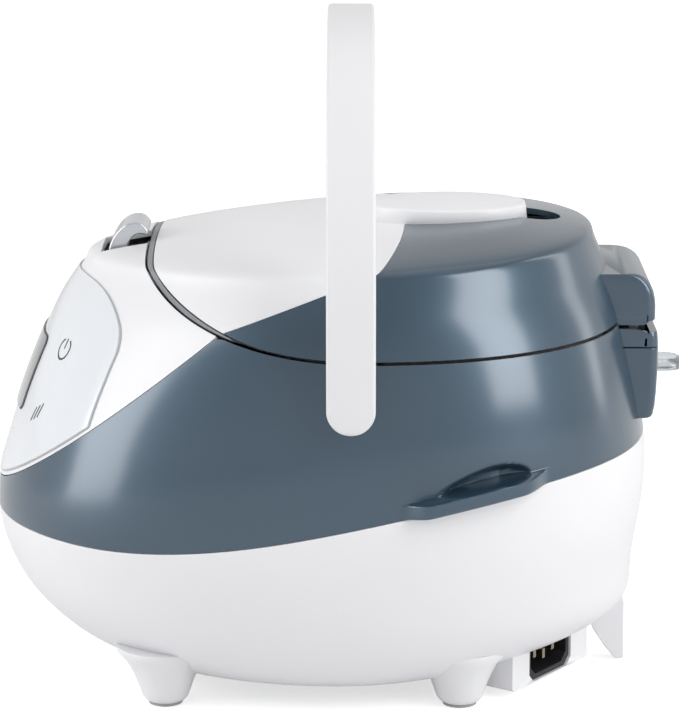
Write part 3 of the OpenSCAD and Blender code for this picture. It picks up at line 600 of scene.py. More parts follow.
def wall(name, outer, inner, look, body, ring=False, **more):
    """A closed mesh between two grids of points, rows by columns."""
    rows, cols = outer.shape[:2]
    i, j = np.meshgrid(np.arange(rows - 1), np.arange(cols if ring else cols - 1), indexing="ij")
    k = (j + 1) % cols
    a, b, c, d = i * cols + j, i * cols + k, (i + 1) * cols + k, (i + 1) * cols + j
    half = rows * cols
    faces = [np.stack([a, b, c, d], -1).reshape(-1, 4), half + np.stack([d, c, b, a], -1).reshape(-1, 4)]
    j1 = np.arange(cols if ring else cols - 1)
    k1 = (j1 + 1) % cols
    top = (rows - 1) * cols
    faces.append(np.stack([j1, half + j1, half + k1, k1], -1))
    faces.append(np.stack([top + k1, half + top + k1, half + top + j1, top + j1], -1))
    if not ring:
        i1 = np.arange(rows - 1) * cols
        faces.append(np.stack([i1, i1 + cols, half + i1 + cols, half + i1], -1))
        e1 = i1 + cols - 1
        faces.append(np.stack([e1 + cols, e1, half + e1, half + e1 + cols], -1))
    points = np.concatenate([outer.reshape(-1, 3), inner.reshape(-1, 3)])
    return make(name, points, np.concatenate(faces).tolist(), look, body, **more)


def shell(name, angles, low, high, rows, look, body, out=0.0, inside=None, **more):
    """A piece of the skin between two seams, with the wall's thickness."""
    share = np.linspace(0, 1, rows + 1)[:, None]
    t = low[None] + (high - low)[None] * share
    a = np.broadcast_to(angles[None], t.shape)
    inner = -WALL if inside is None else inside
    return wall(name, skin_at(a, t, out), skin_at(a, t, inner), look, body, **more)


def spread(*stops):
    """Angles from stop to stop: spread(from, to, count, to, count, ...)."""
    parts = [[stops[0]]]
    last = stops[0]
    for to, count in zip(stops[1::2], stops[2::2]):
        parts.append(np.linspace(last, to, count + 1)[1:])
        last = to
    return np.concatenate(parts)


def loft_faces(rows, cols, closed=False):
    """Quads between stacked rings. closed joins the last ring to the first."""
    return [(i * cols + j, i * cols + (j + 1) % cols,
             (i + 1) % rows * cols + (j + 1) % cols, (i + 1) % rows * cols + j)
            for i in range(rows if closed else rows - 1) for j in range(cols)]


def capped(name, rings, look, body, **more):
    """A closed mesh of stacked rings with flat ends."""
    rows, cols = rings.shape[:2]
    faces = loft_faces(rows, cols)
    faces += [tuple(range(cols - 1, -1, -1)), tuple(range((rows - 1) * cols, rows * cols))]
    return make(name, rings.reshape(-1, 3), faces, look, body, **more)


def extruded(name, side, half, look, body, middle=0.0, **more):
    """A side view (y, z) given a width across X, half of it on each side of middle."""
    n = len(side)
    points = [(x, y, z) for x in (middle - half, middle + half) for y, z in side]
    faces = [tuple(range(n)), tuple(range(2 * n - 1, n - 1, -1))]
    faces += [(j, n + j, n + (j + 1) % n, (j + 1) % n) for j in range(n)]
    return make(name, points, faces, look, body, **more)


print("mesh helpers ready")

# %% [markdown]
# ## The bowl, its feet and the mains inlet
#
# The bowl is the lowest cut of the skin. Four short feet grow out of it. They are turned
# shapes, so each is a profile spun round, and Geometry Nodes set the same foot on four points.
# The inlet sits in a block under the right rear: a box with a six-sided mouth cut into it.

# %% Bowl
all_round = np.linspace(-90, 270, 361)[:-1]
bowl = shell("bowl", all_round, np.zeros(all_round.shape), t_bowl(all_round, -SEAM), 56, white, "base",
             ring=True, replaces=["lower_housing"], slot="white_plastic", bevel=0.35)
print("bowl:", len(bowl.data.polygons), "faces")


# %% Geometry Nodes helpers
def geometry_tree(name, inputs):
    """A tree with named number inputs. Returns the tree, its two ends and the input sockets."""
    tree = bpy.data.node_groups.new(name, "GeometryNodeTree")
    new_socket = tree.interface.new_socket
    new_socket(name="Geometry", in_out="INPUT", socket_type="NodeSocketGeometry")
    sockets = {label: new_socket(name=label, in_out="INPUT", socket_type="NodeSocketFloat")
               for label in inputs}
    new_socket(name="Geometry", in_out="OUTPUT", socket_type="NodeSocketGeometry")
    return tree, tree.nodes.new("NodeGroupInput"), tree.nodes.new("NodeGroupOutput"), sockets


def baked(name, mesh, tree, sockets, values):
    """The plain mesh that a tree makes from a mesh, once its named inputs are set."""
    carrier = bpy.data.objects.new(name, mesh)
    bpy.context.scene.collection.objects.link(carrier)
    modifier = carrier.modifiers.new(name, "NODES")
    modifier.node_group = tree
    for label, value in values.items():
        modifier[sockets[label].identifier] = float(value)
    depsgraph = bpy.context.evaluated_depsgraph_get()
    result = bpy.data.meshes.new_from_object(carrier.evaluated_get(depsgraph))
    bpy.data.objects.remove(carrier)
    return result


def set_on_points(name, pattern, places, look):
    """One mesh with the object `pattern` set on every place, at a scale called Size."""
    tree, entry, out, sockets = geometry_tree(name, ["Size"])
    source = tree.nodes.new("GeometryNodeObjectInfo")
    dots = tree.nodes.new("GeometryNodeMeshToPoints")
    put = tree.nodes.new("GeometryNodeInstanceOnPoints")
    real = tree.nodes.new("GeometryNodeRealizeInstances")
    paint = tree.nodes.new("GeometryNodeSetMaterial")
    dial(source, {"Object": pattern})
    dial(paint, {"Material": look})
    cables(tree, (entry, "Geometry", dots, "Mesh"), (dots, "Points", put, "Points"),
           (source, "Geometry", put, "Instance"), (entry, "Size", put, "Scale"),
           (put, "Instances", real, "Geometry"), (real, "Geometry", paint, "Geometry"),
           (paint, "Geometry", out, "Geometry"))
    mesh = bpy.data.meshes.new(name)
    mesh.from_pydata((np.array(places, float) * MM).tolist(), [], [])
    result = baked(name, mesh, tree, sockets, {"Size": 1.0})
    bpy.data.objects.remove(pattern)
    print(name, "set on", len(places), "points:", len(result.polygons), "faces")
    return result


def turned(name, profile, steps=64):
    """A closed shape spun about its own upright axis from (radius, height) pairs."""
    around = np.linspace(0, 2 * np.pi, steps + 1)[:-1]
    points = [(r * np.cos(w), r * np.sin(w), z) for r, z in profile for w in around]
    mesh = cleaned(name, points, loft_faces(len(profile), steps), merge=1e-7)
    pattern = bpy.data.objects.new(name, mesh)
    bpy.context.scene.collection.objects.link(pattern)
    return pattern


# %% Feet and pads
FOOT_SPOTS = [(57.5, -71, 0), (-57.5, -71, 0), (59, 49.5, 0), (-59, 49.5, 0)]
foot_profile = [(0, 1.2), (6.4, 1.2), (7.3, 1.5), (8.4, 2.2), (9.4, 3.6), (10.3, 6), (12.0, 11), (14.2, 16),
                (16.2, 19.5), (19.5, 23.0), (19.5, 25.5), (0, 25.5)]
place("feet_mouldings", set_on_points("feet", turned("foot", foot_profile), FOOT_SPOTS, white),
      white, "base", replaces=["feet"], slot="white_plastic", angle=60)
pad_profile = [(0, 0), (6.3, 0), (6.9, 0.25), (7.0, 0.6), (7.0, 1.25), (0, 1.25)]
place("foot_rubbers", set_on_points("pads", turned("pad", pad_profile), FOOT_SPOTS, rubber),
      rubber, "base", replaces=["foot_pads"], slot="rubber", angle=40)

# %% Inlet block, socket and rear fin
INLET_MID = np.array([33.0, 88.2])
INLET_TURN = math.radians(-35.7)
INLET_Z, INLET_W, INLET_H, CHAMFER = 11.6, 31.5, 15.0, 3.5
BLOCK_W, BLOCK_DEEP, BLOCK_LOW, BLOCK_H, BLOCK_CHAMFER = 58.0, 27.0, 3.5, 21.0, 1.2


def at_inlet(points):
    """Turns points from the inlet's own axes (across, out of the face, up) into the frame's."""
    p = np.asarray(points, float)
    c, s = math.cos(INLET_TURN), math.sin(INLET_TURN)
    return np.stack([INLET_MID[0] + c * p[..., 0] - s * p[..., 1],
                     INLET_MID[1] + s * p[..., 0] + c * p[..., 1], p[..., 2]], -1)


def mouth(grow):
    """The six-sided outline of the inlet, as (across, up) pairs."""
    w, h = INLET_W / 2 + grow, INLET_H / 2 + grow
    return [(-w, h), (-w, -h + CHAMFER), (-w + CHAMFER, -h), (w - CHAMFER, -h), (w, -h + CHAMFER), (w, h)]


def tunnel(outline, depths):
    """Rings of points along the inlet's depth: outline (across, up) at each depth."""
    return [at_inlet([(x, d, INLET_Z + z) for x, z in outline]) for d in depths]


def block_rings():
    """A box with chamfered lower edges, and the mouth cut right through its face."""
    w, c, low, high = BLOCK_W / 2, BLOCK_CHAMFER, BLOCK_LOW, BLOCK_LOW + BLOCK_H
    outer = [(-w, high), (-w, low + c), (-w + c, low), (w - c, low), (w, low + c), (w, high)]
    outer = [(x, z - INLET_Z) for x, z in outer]
    return tunnel(outer, [-BLOCK_DEEP, 0.0]) + tunnel(mouth(0.3), [0.0, -BLOCK_DEEP])


make("inlet_frame", np.concatenate(block_rings()), loft_faces(4, 6, closed=True), white, "base",
     replaces=["inlet_block"], slot="white_plastic", bevel=1.0, angle=30, segments=4)
socket_rings = tunnel(mouth(0.0), [-18.5, -0.9]) + tunnel(mouth(-2.2), [-0.9, -17.5])
capped("inlet_socket", np.array(socket_rings), black, "base", replaces=["ac_inlet"],
       slot="dark_plastic", bevel=0.4, angle=30, segments=2)
fin_side = [(100, 30), (103.5, 24), (108, 14), (112.5, 7), (117.2, 1.4), (118.2, 1.0), (120.6, 1.0),
            (121, 1.5), (121, 26), (119.5, 31)]
extruded("rear_fin_moulding", fin_side, 5, white, "base", replaces=["rear_fin"], slot="white_plastic",
         bevel=0.6, angle=40)
print("inlet block, socket and fin made")

# %% [markdown]
# ## The lacquered band and its grips
#
# The band is the next cut of the skin. On each side its lower edge swells into a lip for the
# fingers with a pocket scooped out above it. Both come from one rule that moves the skin out
# or in, so lip, pocket and band stay a single sheet. The rows of the grid are close together
# at the lip's top edge, where the surface turns sharply.

# %% Band
hinge_high = size_of("hinge_cover")[1]
HINGE_HALF = hinge_high[0]
NOTCH_Z = 141.0
notch_a = float(halve(lambda a: skin(a, 7.6)[..., 0] - HINGE_HALF - 0.8, np.array(45.0), np.array(90.0)))
GRIP_FROM, GRIP_TO = 10.5, 39.5
LIP_OUT, LIP_HIGH, POCKET_DEEP, POCKET_HIGH = 7.85, 6.2, 6.5, 9.0


def grip_shape(a, h):
    """How far the band stands out (or in) at angle a, h millimetres above its lower edge."""
    side = np.where(a > 90, 180 - a, a)
    u = (side - GRIP_FROM) / (GRIP_TO - GRIP_FROM)
    # the lip rises quickly at its front end and runs out in a longer slope at its rear end
    rise = smooth(u / 0.16) * smooth((1.0 - u) / 0.30)
    lip = LIP_OUT * rise * (1 - smooth((h - LIP_HIGH + 0.9) / 0.9)) * (0.93 + 0.07 * smooth(h / 1.2))
    v = np.clip((u - 0.20) / 0.62, 0, 1)
    lens = np.sin(np.pi * v ** 0.8) ** 0.6
    roof = LIP_HIGH + POCKET_HIGH * lens * (0.55 + 0.45 * v)
    inside = smooth((h - LIP_HIGH + 0.6) / 0.9) * smooth((roof - h) / (2.0 + 5.0 * (1 - v)))
    pocket = POCKET_DEEP * np.where(lens > 0.02, inside, 0) * np.minimum(1, 1.3 * lens)
    return np.where((u > 0) & (u < 1), lip - pocket, 0.0)


half_band = spread(-90, bib_end, 60, bib_end + 0.12, 1, GRIP_FROM - 1, 22, GRIP_TO + 1, 80,
                   notch_a - 0.1, 28, notch_a, 1)
band_angles = np.concatenate([half_band, spread(notch_a, 180 - notch_a, 20)[1:-1],
                              180 - half_band[::-1][:-1]])
band_bottom = t_bowl(band_angles, SEAM)
notch_top = along_skin(band_angles, lambda x, y, z: NOTCH_Z - z, 5, 10)
behind = (band_angles > notch_a - 0.05) & (band_angles < 180.05 - notch_a)
band_top = np.where(behind, notch_top, np.minimum(t_lid(band_angles, -0.1), t_bib(band_angles, -SEAM)))
ROWS_HIGH = 54.0          # the rows are written for a band this high, and stretch to fit
heights = np.concatenate([[0, 0.5, 1.2, 2.4, 3.8], np.arange(4.6, 7.6, 0.25), np.arange(7.8, 22, 0.9),
                          np.linspace(23, ROWS_HIGH, 26)]) / ROWS_HIGH
t = band_bottom + (band_top - band_bottom) * heights[:, None]
a = np.broadcast_to(band_angles, t.shape)
p = skin(a, t)
above_seam = p[..., 2] - bowl_line(p[..., 1])
push = grip_shape(a, above_seam)
band = wall("lacquered_band", skin_at(a, t, push), skin_at(a, t, np.minimum(push, 0) - WALL), lacquer, "base",
            ring=True, replaces=["upper_housing", "grip_lips"], slot="blue_paint", bevel=0.35)
print("band:", len(band.data.polygons), "faces")

# %% [markdown]
# ## White front, control panel and release lever
#
# The white front runs from the slanting seam up to the lid. The panel is a thin film laid on
# it, with a fine grey edge. Its display is a raised lens, and the keys are only printed: a
# power sign and three slanting bars on the right, a clock and three wavy lines on the left.
# No words are printed, so the signs stay generic.

# %% White front
WELL_HALF = 14.0
WELL_FRONT = -97.4
well_a = float(halve(lambda a: WELL_HALF - skin(a, 11.5)[..., 0], np.array(-89.0), np.array(-40.0)))
front_angles = spread(-180 - bib_end, -180 - well_a - 0.12, 60, -180 - well_a, 1, well_a, 40,
                      well_a + 0.12, 1, bib_end, 60)
at_well = np.abs(front_angles + 90) <= well_a + 90.02
well_top = along_skin(front_angles, lambda x, y, z: WELL_FRONT - y, 8, 12.8)
front_top = np.where(at_well, well_top, t_lid(front_angles, 0.0))
shell("white_front", front_angles, t_bib(front_angles, SEAM), front_top, 64, white, "base",
      replaces=["front_fascia"], slot="white_plastic", bevel=0.4)

# %% Panel and display
PANEL_TURN, PANEL_TOP, PANEL_THICK = 42.5, 9.6, 0.8
WINDOW_TURN = 14.0


def panel_edges(turn, shrink):
    """Angles across the panel, with its lower and upper edges. shrink pulls it in all round."""
    reach = turn - shrink * 0.55
    angles = -90 + reach * np.sin(np.linspace(-0.5, 0.5, 121) * np.pi)
    u = np.abs(angles + 90) / reach
    corner = 0.22 * (1 - np.sqrt(np.maximum(0, 1 - (np.clip((u - 0.94) / 0.06, 0, 1)) ** 2)))
    low = t_bib(angles, 1.5 + shrink)
    return angles, low, PANEL_TOP - 0.045 * shrink - 1.5 * u ** 4 - corner


angles, low, high = panel_edges(PANEL_TURN, 0.0)
shell("panel_edge", angles, low, high, 40, film_edge, "base", out=PANEL_THICK - 0.25, inside=0.05,
      slot="panel_film")
angles, low, high = panel_edges(PANEL_TURN, 0.45)
shell("panel_film", angles, low, high, 60, film, "base", out=PANEL_THICK, inside=0.06,
      replaces=["control_panel"], slot="panel_film", bevel=0.25, segments=2)


def window(name, turn, low_t, high_t, out, inside, look, round_by, **more):
    """A rounded rectangle on the skin."""
    u = np.sin(np.linspace(-0.5, 0.5, 61) * np.pi)
    angles = -90 + turn * u
    bend = round_by * (1 - np.sqrt(np.maximum(0, 1 - np.clip((np.abs(u) - 0.86) / 0.14, 0, 1) ** 2)))
    return shell(name, angles, low_t + bend, high_t - bend, 24, look, "base", out=out, inside=inside, **more)


window("display_surround", WINDOW_TURN, 6.58, 7.77, PANEL_THICK + 0.28, 0.5, ink, 0.12,
       slot="display_window")
window("display_lens", WINDOW_TURN - 0.3, 6.60, 7.75, PANEL_THICK + 0.8, 0.5, screen, 0.11,
       replaces=["display_window"], slot="display_window", bevel=0.35)
print("panel and display made")


# %% Printed signs
def on_panel(a0, t0, u, v):
    """A point u mm across and v mm up the panel from (a0, t0), just above the film."""
    across = skin(a0 + 0.5, t0) - skin(a0 - 0.5, t0)
    up = skin(a0, t0 + 0.02) - skin(a0, t0 - 0.02)
    a = a0 + u / np.linalg.norm(across)
    t = t0 + v * 0.04 / np.linalg.norm(up)
    return skin_at(a, t, PANEL_THICK + 0.05)


def stroke(path, width, a0, t0):
    """A flat printed line of one width along path, as quads."""
    path = np.array(path, float)
    step = np.gradient(path, axis=0)
    side = unit(np.stack([-step[:, 1], step[:, 0]], -1)) * width / 2
    left = np.array([on_panel(a0, t0, *q) for q in path + side])
    right = np.array([on_panel(a0, t0, *q) for q in path - side])
    n = len(path)
    return np.concatenate([left, right]), [(i, i + 1, n + i + 1, n + i) for i in range(n - 1)]


def arc(radius, start, end, count):
    w = np.radians(np.linspace(start, end, count))
    return np.stack([radius * np.cos(w), radius * np.sin(w)], -1)


def sign(name, strokes, a0, t0):
    """Several strokes, each with its width, as one printed piece."""
    points, faces, shift = [], [], 0
    for path, width in strokes:
        p, f = stroke(path, width, a0, t0)
        points.append(p)
        faces += [tuple(i + shift for i in q) for q in f]
        shift += len(p)
    return make(name, np.concatenate(points), faces, ink, "base", slot="panel_film")


def bar(u, v, length, lean):
    """A slanting bar as a path of three points."""
    return [(u - lean * length / 2, v - length / 2), (u, v), (u + lean * length / 2, v + length / 2)]


def wave(u):
    """A wavy upright line."""
    return np.stack([u + 0.7 * np.sin(np.linspace(0, 2 * np.pi, 16)), np.linspace(-3, 3, 16)], -1)


# each key's turn from the middle of the front in degrees, and its place on the skin's stack
UPPER_TURN, UPPER_T = 25.0, 7.74
LOWER_TURN, LOWER_T = 23.5, 6.73
SIGN_R = 4.4
STEP = 2.6                # between bars, and between waves
sign("power_sign", [(arc(SIGN_R, 120, 420, 40), 0.85), (bar(0, 2.2, 4.6, 0), 0.85)],
     -90 + UPPER_TURN, UPPER_T)
sign("menu_sign", [(bar(u, 0.5 * u, 6.5, 0.35), 0.9) for u in (-STEP, 0, STEP)],
     -90 + LOWER_TURN, LOWER_T)
sign("timer_sign", [(arc(SIGN_R, 0, 360, 40), 0.5), (bar(0, 1.6, 3.2, 0), 0.5),
                    ([(0, 0), (1.2, 0), (2.4, 0)], 0.5)], -90 - UPPER_TURN, UPPER_T)
sign("warm_sign", [(wave(u), 0.5) for u in (-STEP, 0, STEP)], -90 - LOWER_TURN, LOWER_T)
print("signs printed")

# %% Release lever
LEVER_HALF = 11.5


def curve_through(points, count):
    """A smooth open curve through a few points (the same cubic rule as the skin)."""
    rows = np.array(points, float)
    return cubic(rows, bends(rows), np.linspace(0, len(rows) - 1, count))


# the outer side is convex and the inner side hollow: a finger hooks under the tip
lever_outer = curve_through([(-93.8, 174.5), (-94.4, 180), (-91.8, 185.8), (-88.0, 189.6), (-84.0, 191),
                             (-80.4, 190.2), (-78.2, 187.6)], 30)
lever_inner = curve_through([(-78.4, 185.8), (-82.4, 186.2), (-85.6, 183.6), (-87.2, 178), (-87.4, 170)], 20)
lever_side = [tuple(q) for q in np.concatenate([lever_outer, lever_inner])] + [(-91, 170)]
extruded("release_lever", lever_side, LEVER_HALF, silver, "button", replaces=["release_button"],
         slot="silver_plastic", bevel=0.9, angle=50, segments=4)

# %% Nose wall behind the lever, and the frame's lip round the lid
POT_Y = 18.0
WALL_R, NOSE_WALL, NOSE_TURN = 97.4, 1.8, 62
LIP_TURN = 66
nose_angles = np.linspace(-90 - NOSE_TURN, -90 + NOSE_TURN, 121)


def nose_points(radius, low):
    """One edge of the wall: along the deck, or just under the lid."""
    w = np.radians(nose_angles)
    x, y = radius * np.cos(w), POT_Y + radius * np.sin(w)
    if low:
        return np.stack([x, y, np.full(x.shape, deck_z + 0.1)], -1)
    top = halve(lambda z: lid_rule(y, z, 0), np.full(y.shape, 150.0), np.full(y.shape, 187.0)) - 4
    return np.stack([x, y, np.minimum(top, 178)], -1)


outer, inner = [np.stack([nose_points(radius, True), nose_points(radius, False)])
                for radius in (WALL_R + NOSE_WALL, WALL_R)]
wall("nose_wall_moulding", outer, inner, white, "base", replaces=["nose_wall"], slot="white_plastic",
     bevel=0.3)

lip_angles = spread(-90 - LIP_TURN, -90 + LIP_TURN, 160)
lip_low = t_lid(lip_angles, JOINT_GAP)
lip_high = np.maximum(t_cover(lip_angles, -0.55), lip_low + 0.004)
shell("lid_frame_lip", lip_angles, lip_low, lip_high, 4, frame_grey, "lid", out=-0.35, inside=-3.2,
      slot="grey_plastic", bevel=0.25, segments=2)
print("lever, nose wall and the frame's lip made")

# %% [markdown]
# ## The lid
#
# The lid's two covers are one dome, cut by a slanting seam. Each is a grid that runs from
# the lid's edge (share 0) to the opening in the top (share 1). The steam cap lies over the
# opening, and leaves a small scoop free behind it for the steam.


# %% Lid covers
def lid_grid(angles, shares, d):
    low, high = t_cover(angles), t_hole(angles)
    return skin_at(angles, low + (high - low) * shares, d)


lid_shares = np.concatenate([np.linspace(0, 0.86, 52), np.linspace(0.86, 1, 22)[1:]])


def split_side(share):
    """The angle, on the +X side, where the seam between the covers crosses this row."""
    def rule(a):
        p = skin(a, t_cover(a) + (t_hole(a) - t_cover(a)) * share)
        return lid_split(p[..., 2]) - p[..., 1]
    return halve(rule, np.full(share.shape, -88.0), np.full(share.shape, 88.0), 24)


split_at = split_side(lid_shares)


def cover(name, middle, half_turn, columns, look, slot, replaced):
    u = np.linspace(-1, 1, columns + 1)
    angles = middle + u[None] * half_turn[:, None]
    shares = np.broadcast_to(lid_shares[:, None], angles.shape)
    return wall(name, lid_grid(angles, shares, 0.0), lid_grid(angles, shares, -WALL), look, "lid",
                replaces=[replaced], slot=slot, bevel=0.45)


SPLIT_GAP = 0.10          # degrees
lid_front = cover("lid_front_cover", -90, split_at + 90 - SPLIT_GAP, 150, white, "white_plastic",
                  "lid_cover_front")
lid_rear = cover("lid_rear_cover", 90, 90 - split_at - SPLIT_GAP, 220, lacquer, "blue_paint",
                 "lid_cover_rear")
print("lid covers:", len(lid_front.data.polygons) + len(lid_rear.data.polygons), "faces")

# %% Steam cap
CAP_TOP = cap_high[2]
CAP_CUT = cap_high[1]
CAP_THICK = 2.4
RIM_Y, RIM_RY = CAP_Y + 0.8, CAP_RY - 1.2


def cap_outline(shrink, count=180):
    """The cap's oval, cut straight at the rear, pulled in by shrink all round."""
    w = np.linspace(0, 2 * np.pi, count + 1)[:-1]
    x = (CAP_RX - shrink) * np.cos(w)
    y = np.minimum(RIM_Y + (RIM_RY - shrink) * np.sin(w), CAP_CUT - shrink)
    return np.stack([x, y], -1)


def stack_of(outlines, heights):
    return np.stack([np.column_stack([o, np.broadcast_to(z, len(o))]) for o, z in zip(outlines, heights)])


# the lid falls away round the cap, so the rim's lower edge follows the lid's opening
hole_angles = np.linspace(-180, 180, 361)
hole_edge = skin(hole_angles, t_hole(hole_angles))
hole_turn = np.arctan2(hole_edge[:, 1] - RIM_Y, hole_edge[:, 0])
order = np.argsort(hole_turn)
rim = cap_outline(0.0)
lid_here = np.interp(np.arctan2(rim[:, 1] - RIM_Y, rim[:, 0]), hole_turn[order], hole_edge[order, 2])
rim_low = np.minimum(CAP_TOP - CAP_THICK, lid_here - 0.5)
# a plug below, a thin rim that leans in as it rises, and a rounded shoulder
outlines = [cap_outline(5.0), cap_outline(5.0), cap_outline(0.3), cap_outline(0.0), cap_outline(0.5)]
heights_cap = [cap_low[2], CAP_TOP - CAP_THICK - 2.5, rim_low, rim_low + 0.3, CAP_TOP - 1.3]
outlines += [cap_outline(0.6 + 1.4 * (1 - math.cos(w))) for w in np.linspace(0, math.pi / 2, 6)]
heights_cap += [CAP_TOP - 1.0 + 1.0 * math.sin(w) for w in np.linspace(0, math.pi / 2, 6)]
# the top is slightly crowned
outlines += [cap_outline(2.0 + pull) for pull in (3.0, 7.0, 12.0, 17.0)]
heights_cap += [CAP_TOP + crown for crown in (0.35, 0.75, 1.1, 1.25)]
capped("steam_cap", stack_of(outlines, heights_cap), white, "cap", replaces=["steam_vent_cap"],
       slot="white_plastic", angle=60)
print("steam cap rim at", round(CAP_TOP, 1), "and its crown a little above")

# %% [markdown]
# ## The hinge housing
#
# The hinge hides in a housing whose lower half belongs to the body and whose upper half
# belongs to the lid. Both are lofts: one outline per height, from the skin to the housing's
# back. The back corners are rounded in plan, and the roof curves down to the back. A strip
# and small cheeks close the space round the hinge pin.

# %% Hinge housing
HOUSE_CORNER = 3.6
HOUSE_SPLIT = 143.0       # height of the seam between the lower housing and the strip
HOUSE_SEAM = 0.16         # half of that seam's width
COVER_BACK = hinge_high[1]
CHEEK = 2.2


def house_ring(z, back, front_y):
    """A plan outline at height z: straight sides from front_y to the rounded back corners."""
    x_mid, y_mid = HINGE_HALF - HOUSE_CORNER, back - HOUSE_CORNER
    right = [(HINGE_HALF, front_y)]
    right += [(x_mid + HOUSE_CORNER * math.cos(w), y_mid + HOUSE_CORNER * math.sin(w))
              for w in np.linspace(0, math.pi / 2, 10)]
    left = [(-x, y) for x, y in reversed(right)]
    return [(x, y, z) for x, y in right + left]


def house(name, rows, body, **more):
    rings = np.array([house_ring(*row) for row in rows])
    return capped(name, rings, lacquer, body, slot="blue_paint", angle=40, **more)


# rows are (height, back, front)
roof_rows = [(153.9, 128.6, 126.2), (154.4, 129.0, 126.2), (156.6, 129.0, 126.2), (156.61, 129.0, 108),
             (160, 129.0, 107), (163, 128.7, 106), (166, 128.0, 104), (168.5, 126.9, 103),
             (170.4, 125.5, 102), (171.8, 123.9, 101), (172.8, 122.0, 100.5), (173.3, 120.0, 100),
             (173.5, 117.5, 100)]
low_rows = [(113.2, COVER_BACK - 2.4, 120), (114.4, COVER_BACK - 1.6, 120), (118, COVER_BACK - 0.9, 119),
            (124, COVER_BACK - 0.4, 118), (132, COVER_BACK - 0.1, 116.5),
            (HOUSE_SPLIT - HOUSE_SEAM, COVER_BACK, 115)]
strip_rows = [(HOUSE_SPLIT + HOUSE_SEAM, COVER_BACK, 124.5), (146.8, COVER_BACK - 0.2, 124.8),
              (149.0, COVER_BACK - 0.5, 126.3), (149.3, COVER_BACK - 0.9, 126.8)]
house("lid_hinge_housing", roof_rows, "lid", replaces=["lid_hinge_block"], bevel=0.7, segments=4)
house("hinge_housing_low", low_rows, "base", replaces=["hinge_cover"], bevel=0.5, segments=3)
house("hinge_housing_strip", strip_rows, "base", bevel=0.4)
body_cheek = [(111.0, HOUSE_SPLIT + HOUSE_SEAM), (126.0, HOUSE_SPLIT + HOUSE_SEAM), (126.0, 149.2),
              (122.5, 150.4), (119.0, 150.8), (110.0, 151.0)]
lid_cheek = [(107.0, 152.3), (124.2, 152.3), (126.2, 153.6), (126.2, 156.8), (107.0, 156.8)]
for side, label in ((1, "right"), (-1, "left")):
    for name, outline, body in (("hinge_cheek_", body_cheek, "base"), ("roof_cheek_", lid_cheek, "lid")):
        extruded(name + label, outline, CHEEK / 2, lacquer, body, middle=side * (HINGE_HALF - CHEEK / 2),
                 slot="blue_paint", bevel=0.35)
print("hinge housing made")

# %% [markdown]
# ## The carry handle
#
# The handle is one flat band bent over the cooker. Its middle line is a rounded arch, and
# at every step along it stands the same rounded rectangle. At the pivots the band ends in
# a half circle, so the rectangle narrows there like a coin's edge. A rule like this, one
# section carried along one path, is a sweep.

# %% Carry handle
pivot = next(j for j in frame["joints"] if j["name"] == "handle_fold")["pos_m"]
PIVOT_Y, PIVOT_Z = pivot[1] / MM, pivot[2] / MM
handle_low, handle_high = size_of("carry_handle")
BAND_HALF = (handle_high[1] - handle_low[1]) / 2
BAND_T = 5.4
ARCH_HALF = handle_high[0] - BAND_T / 2 - 0.1
ARCH_RISE = handle_high[2] - BAND_T / 2 - PIVOT_Z
ARCH_POWER = 2.5          # squareness of the arch: 2 would be an ellipse
EDGE_ROUND = 1.5


def arch_path(count):
    """Points (x, z), evenly spaced, from the right pivot over the top to the left pivot."""
    w = np.linspace(0, np.pi, 4001)
    x = ARCH_HALF * np.sign(np.cos(w)) * np.abs(np.cos(w)) ** (2 / ARCH_POWER)
    z = PIVOT_Z + ARCH_RISE * np.abs(np.sin(w)) ** (2 / ARCH_POWER)
    run = np.concatenate([[0], np.cumsum(np.hypot(np.diff(x), np.diff(z)))])
    s = np.linspace(0, run[-1], count)
    return np.stack([np.interp(s, run, x), np.interp(s, run, z)], -1)


def section(half_width, half_thick, corner, count=5):
    """A rounded rectangle (along Y, across the band)."""
    corner = min(corner, half_width * 0.98, half_thick * 0.98)
    points = []
    for k, (sy, sn) in enumerate(((1, 1), (-1, 1), (-1, -1), (1, -1))):
        for w in np.linspace(k * np.pi / 2, (k + 1) * np.pi / 2, count):
            points.append((sy * (half_width - corner) + corner * math.cos(w),
                           sn * (half_thick - corner) + corner * math.sin(w)))
    return np.array(points)


path = arch_path(241)
tangent = unit(np.gradient(path, axis=0))
end_rings = []
for share in np.sin(np.linspace(0, np.pi / 2, 22))[:0:-1]:     # the round end below a pivot
    drop = BAND_HALF * share
    left_over = max(0.0, EDGE_ROUND - (BAND_HALF - drop))
    thick = BAND_T / 2 - EDGE_ROUND + math.sqrt(max(0.0, EDGE_ROUND ** 2 - left_over ** 2))
    flat = section(math.sqrt(max(0.04, BAND_HALF ** 2 - drop ** 2)), thick, EDGE_ROUND)
    end_rings.append([(ARCH_HALF + n, PIVOT_Y + y, PIVOT_Z - drop) for y, n in flat])
flat = section(BAND_HALF, BAND_T / 2, EDGE_ROUND)
arch_rings = [[(x + n * dz, PIVOT_Y + y, z - n * dx) for y, n in flat]
              for (x, z), (dx, dz) in zip(path, tangent)]
other_end = [[(-x, y, z) for x, y, z in points] for points in reversed(end_rings)]
handle = capped("carry_handle_band", np.array(end_rings + arch_rings + other_end), shaded_handle_white, "handle",
                replaces=["carry_handle"], slot="white_plastic", angle=60)
print("handle:", len(handle.data.polygons), "faces, top at", round(handle_high[2], 1))

# %% Condensate collector
tab_low, tab_high = size_of("dew_collector")


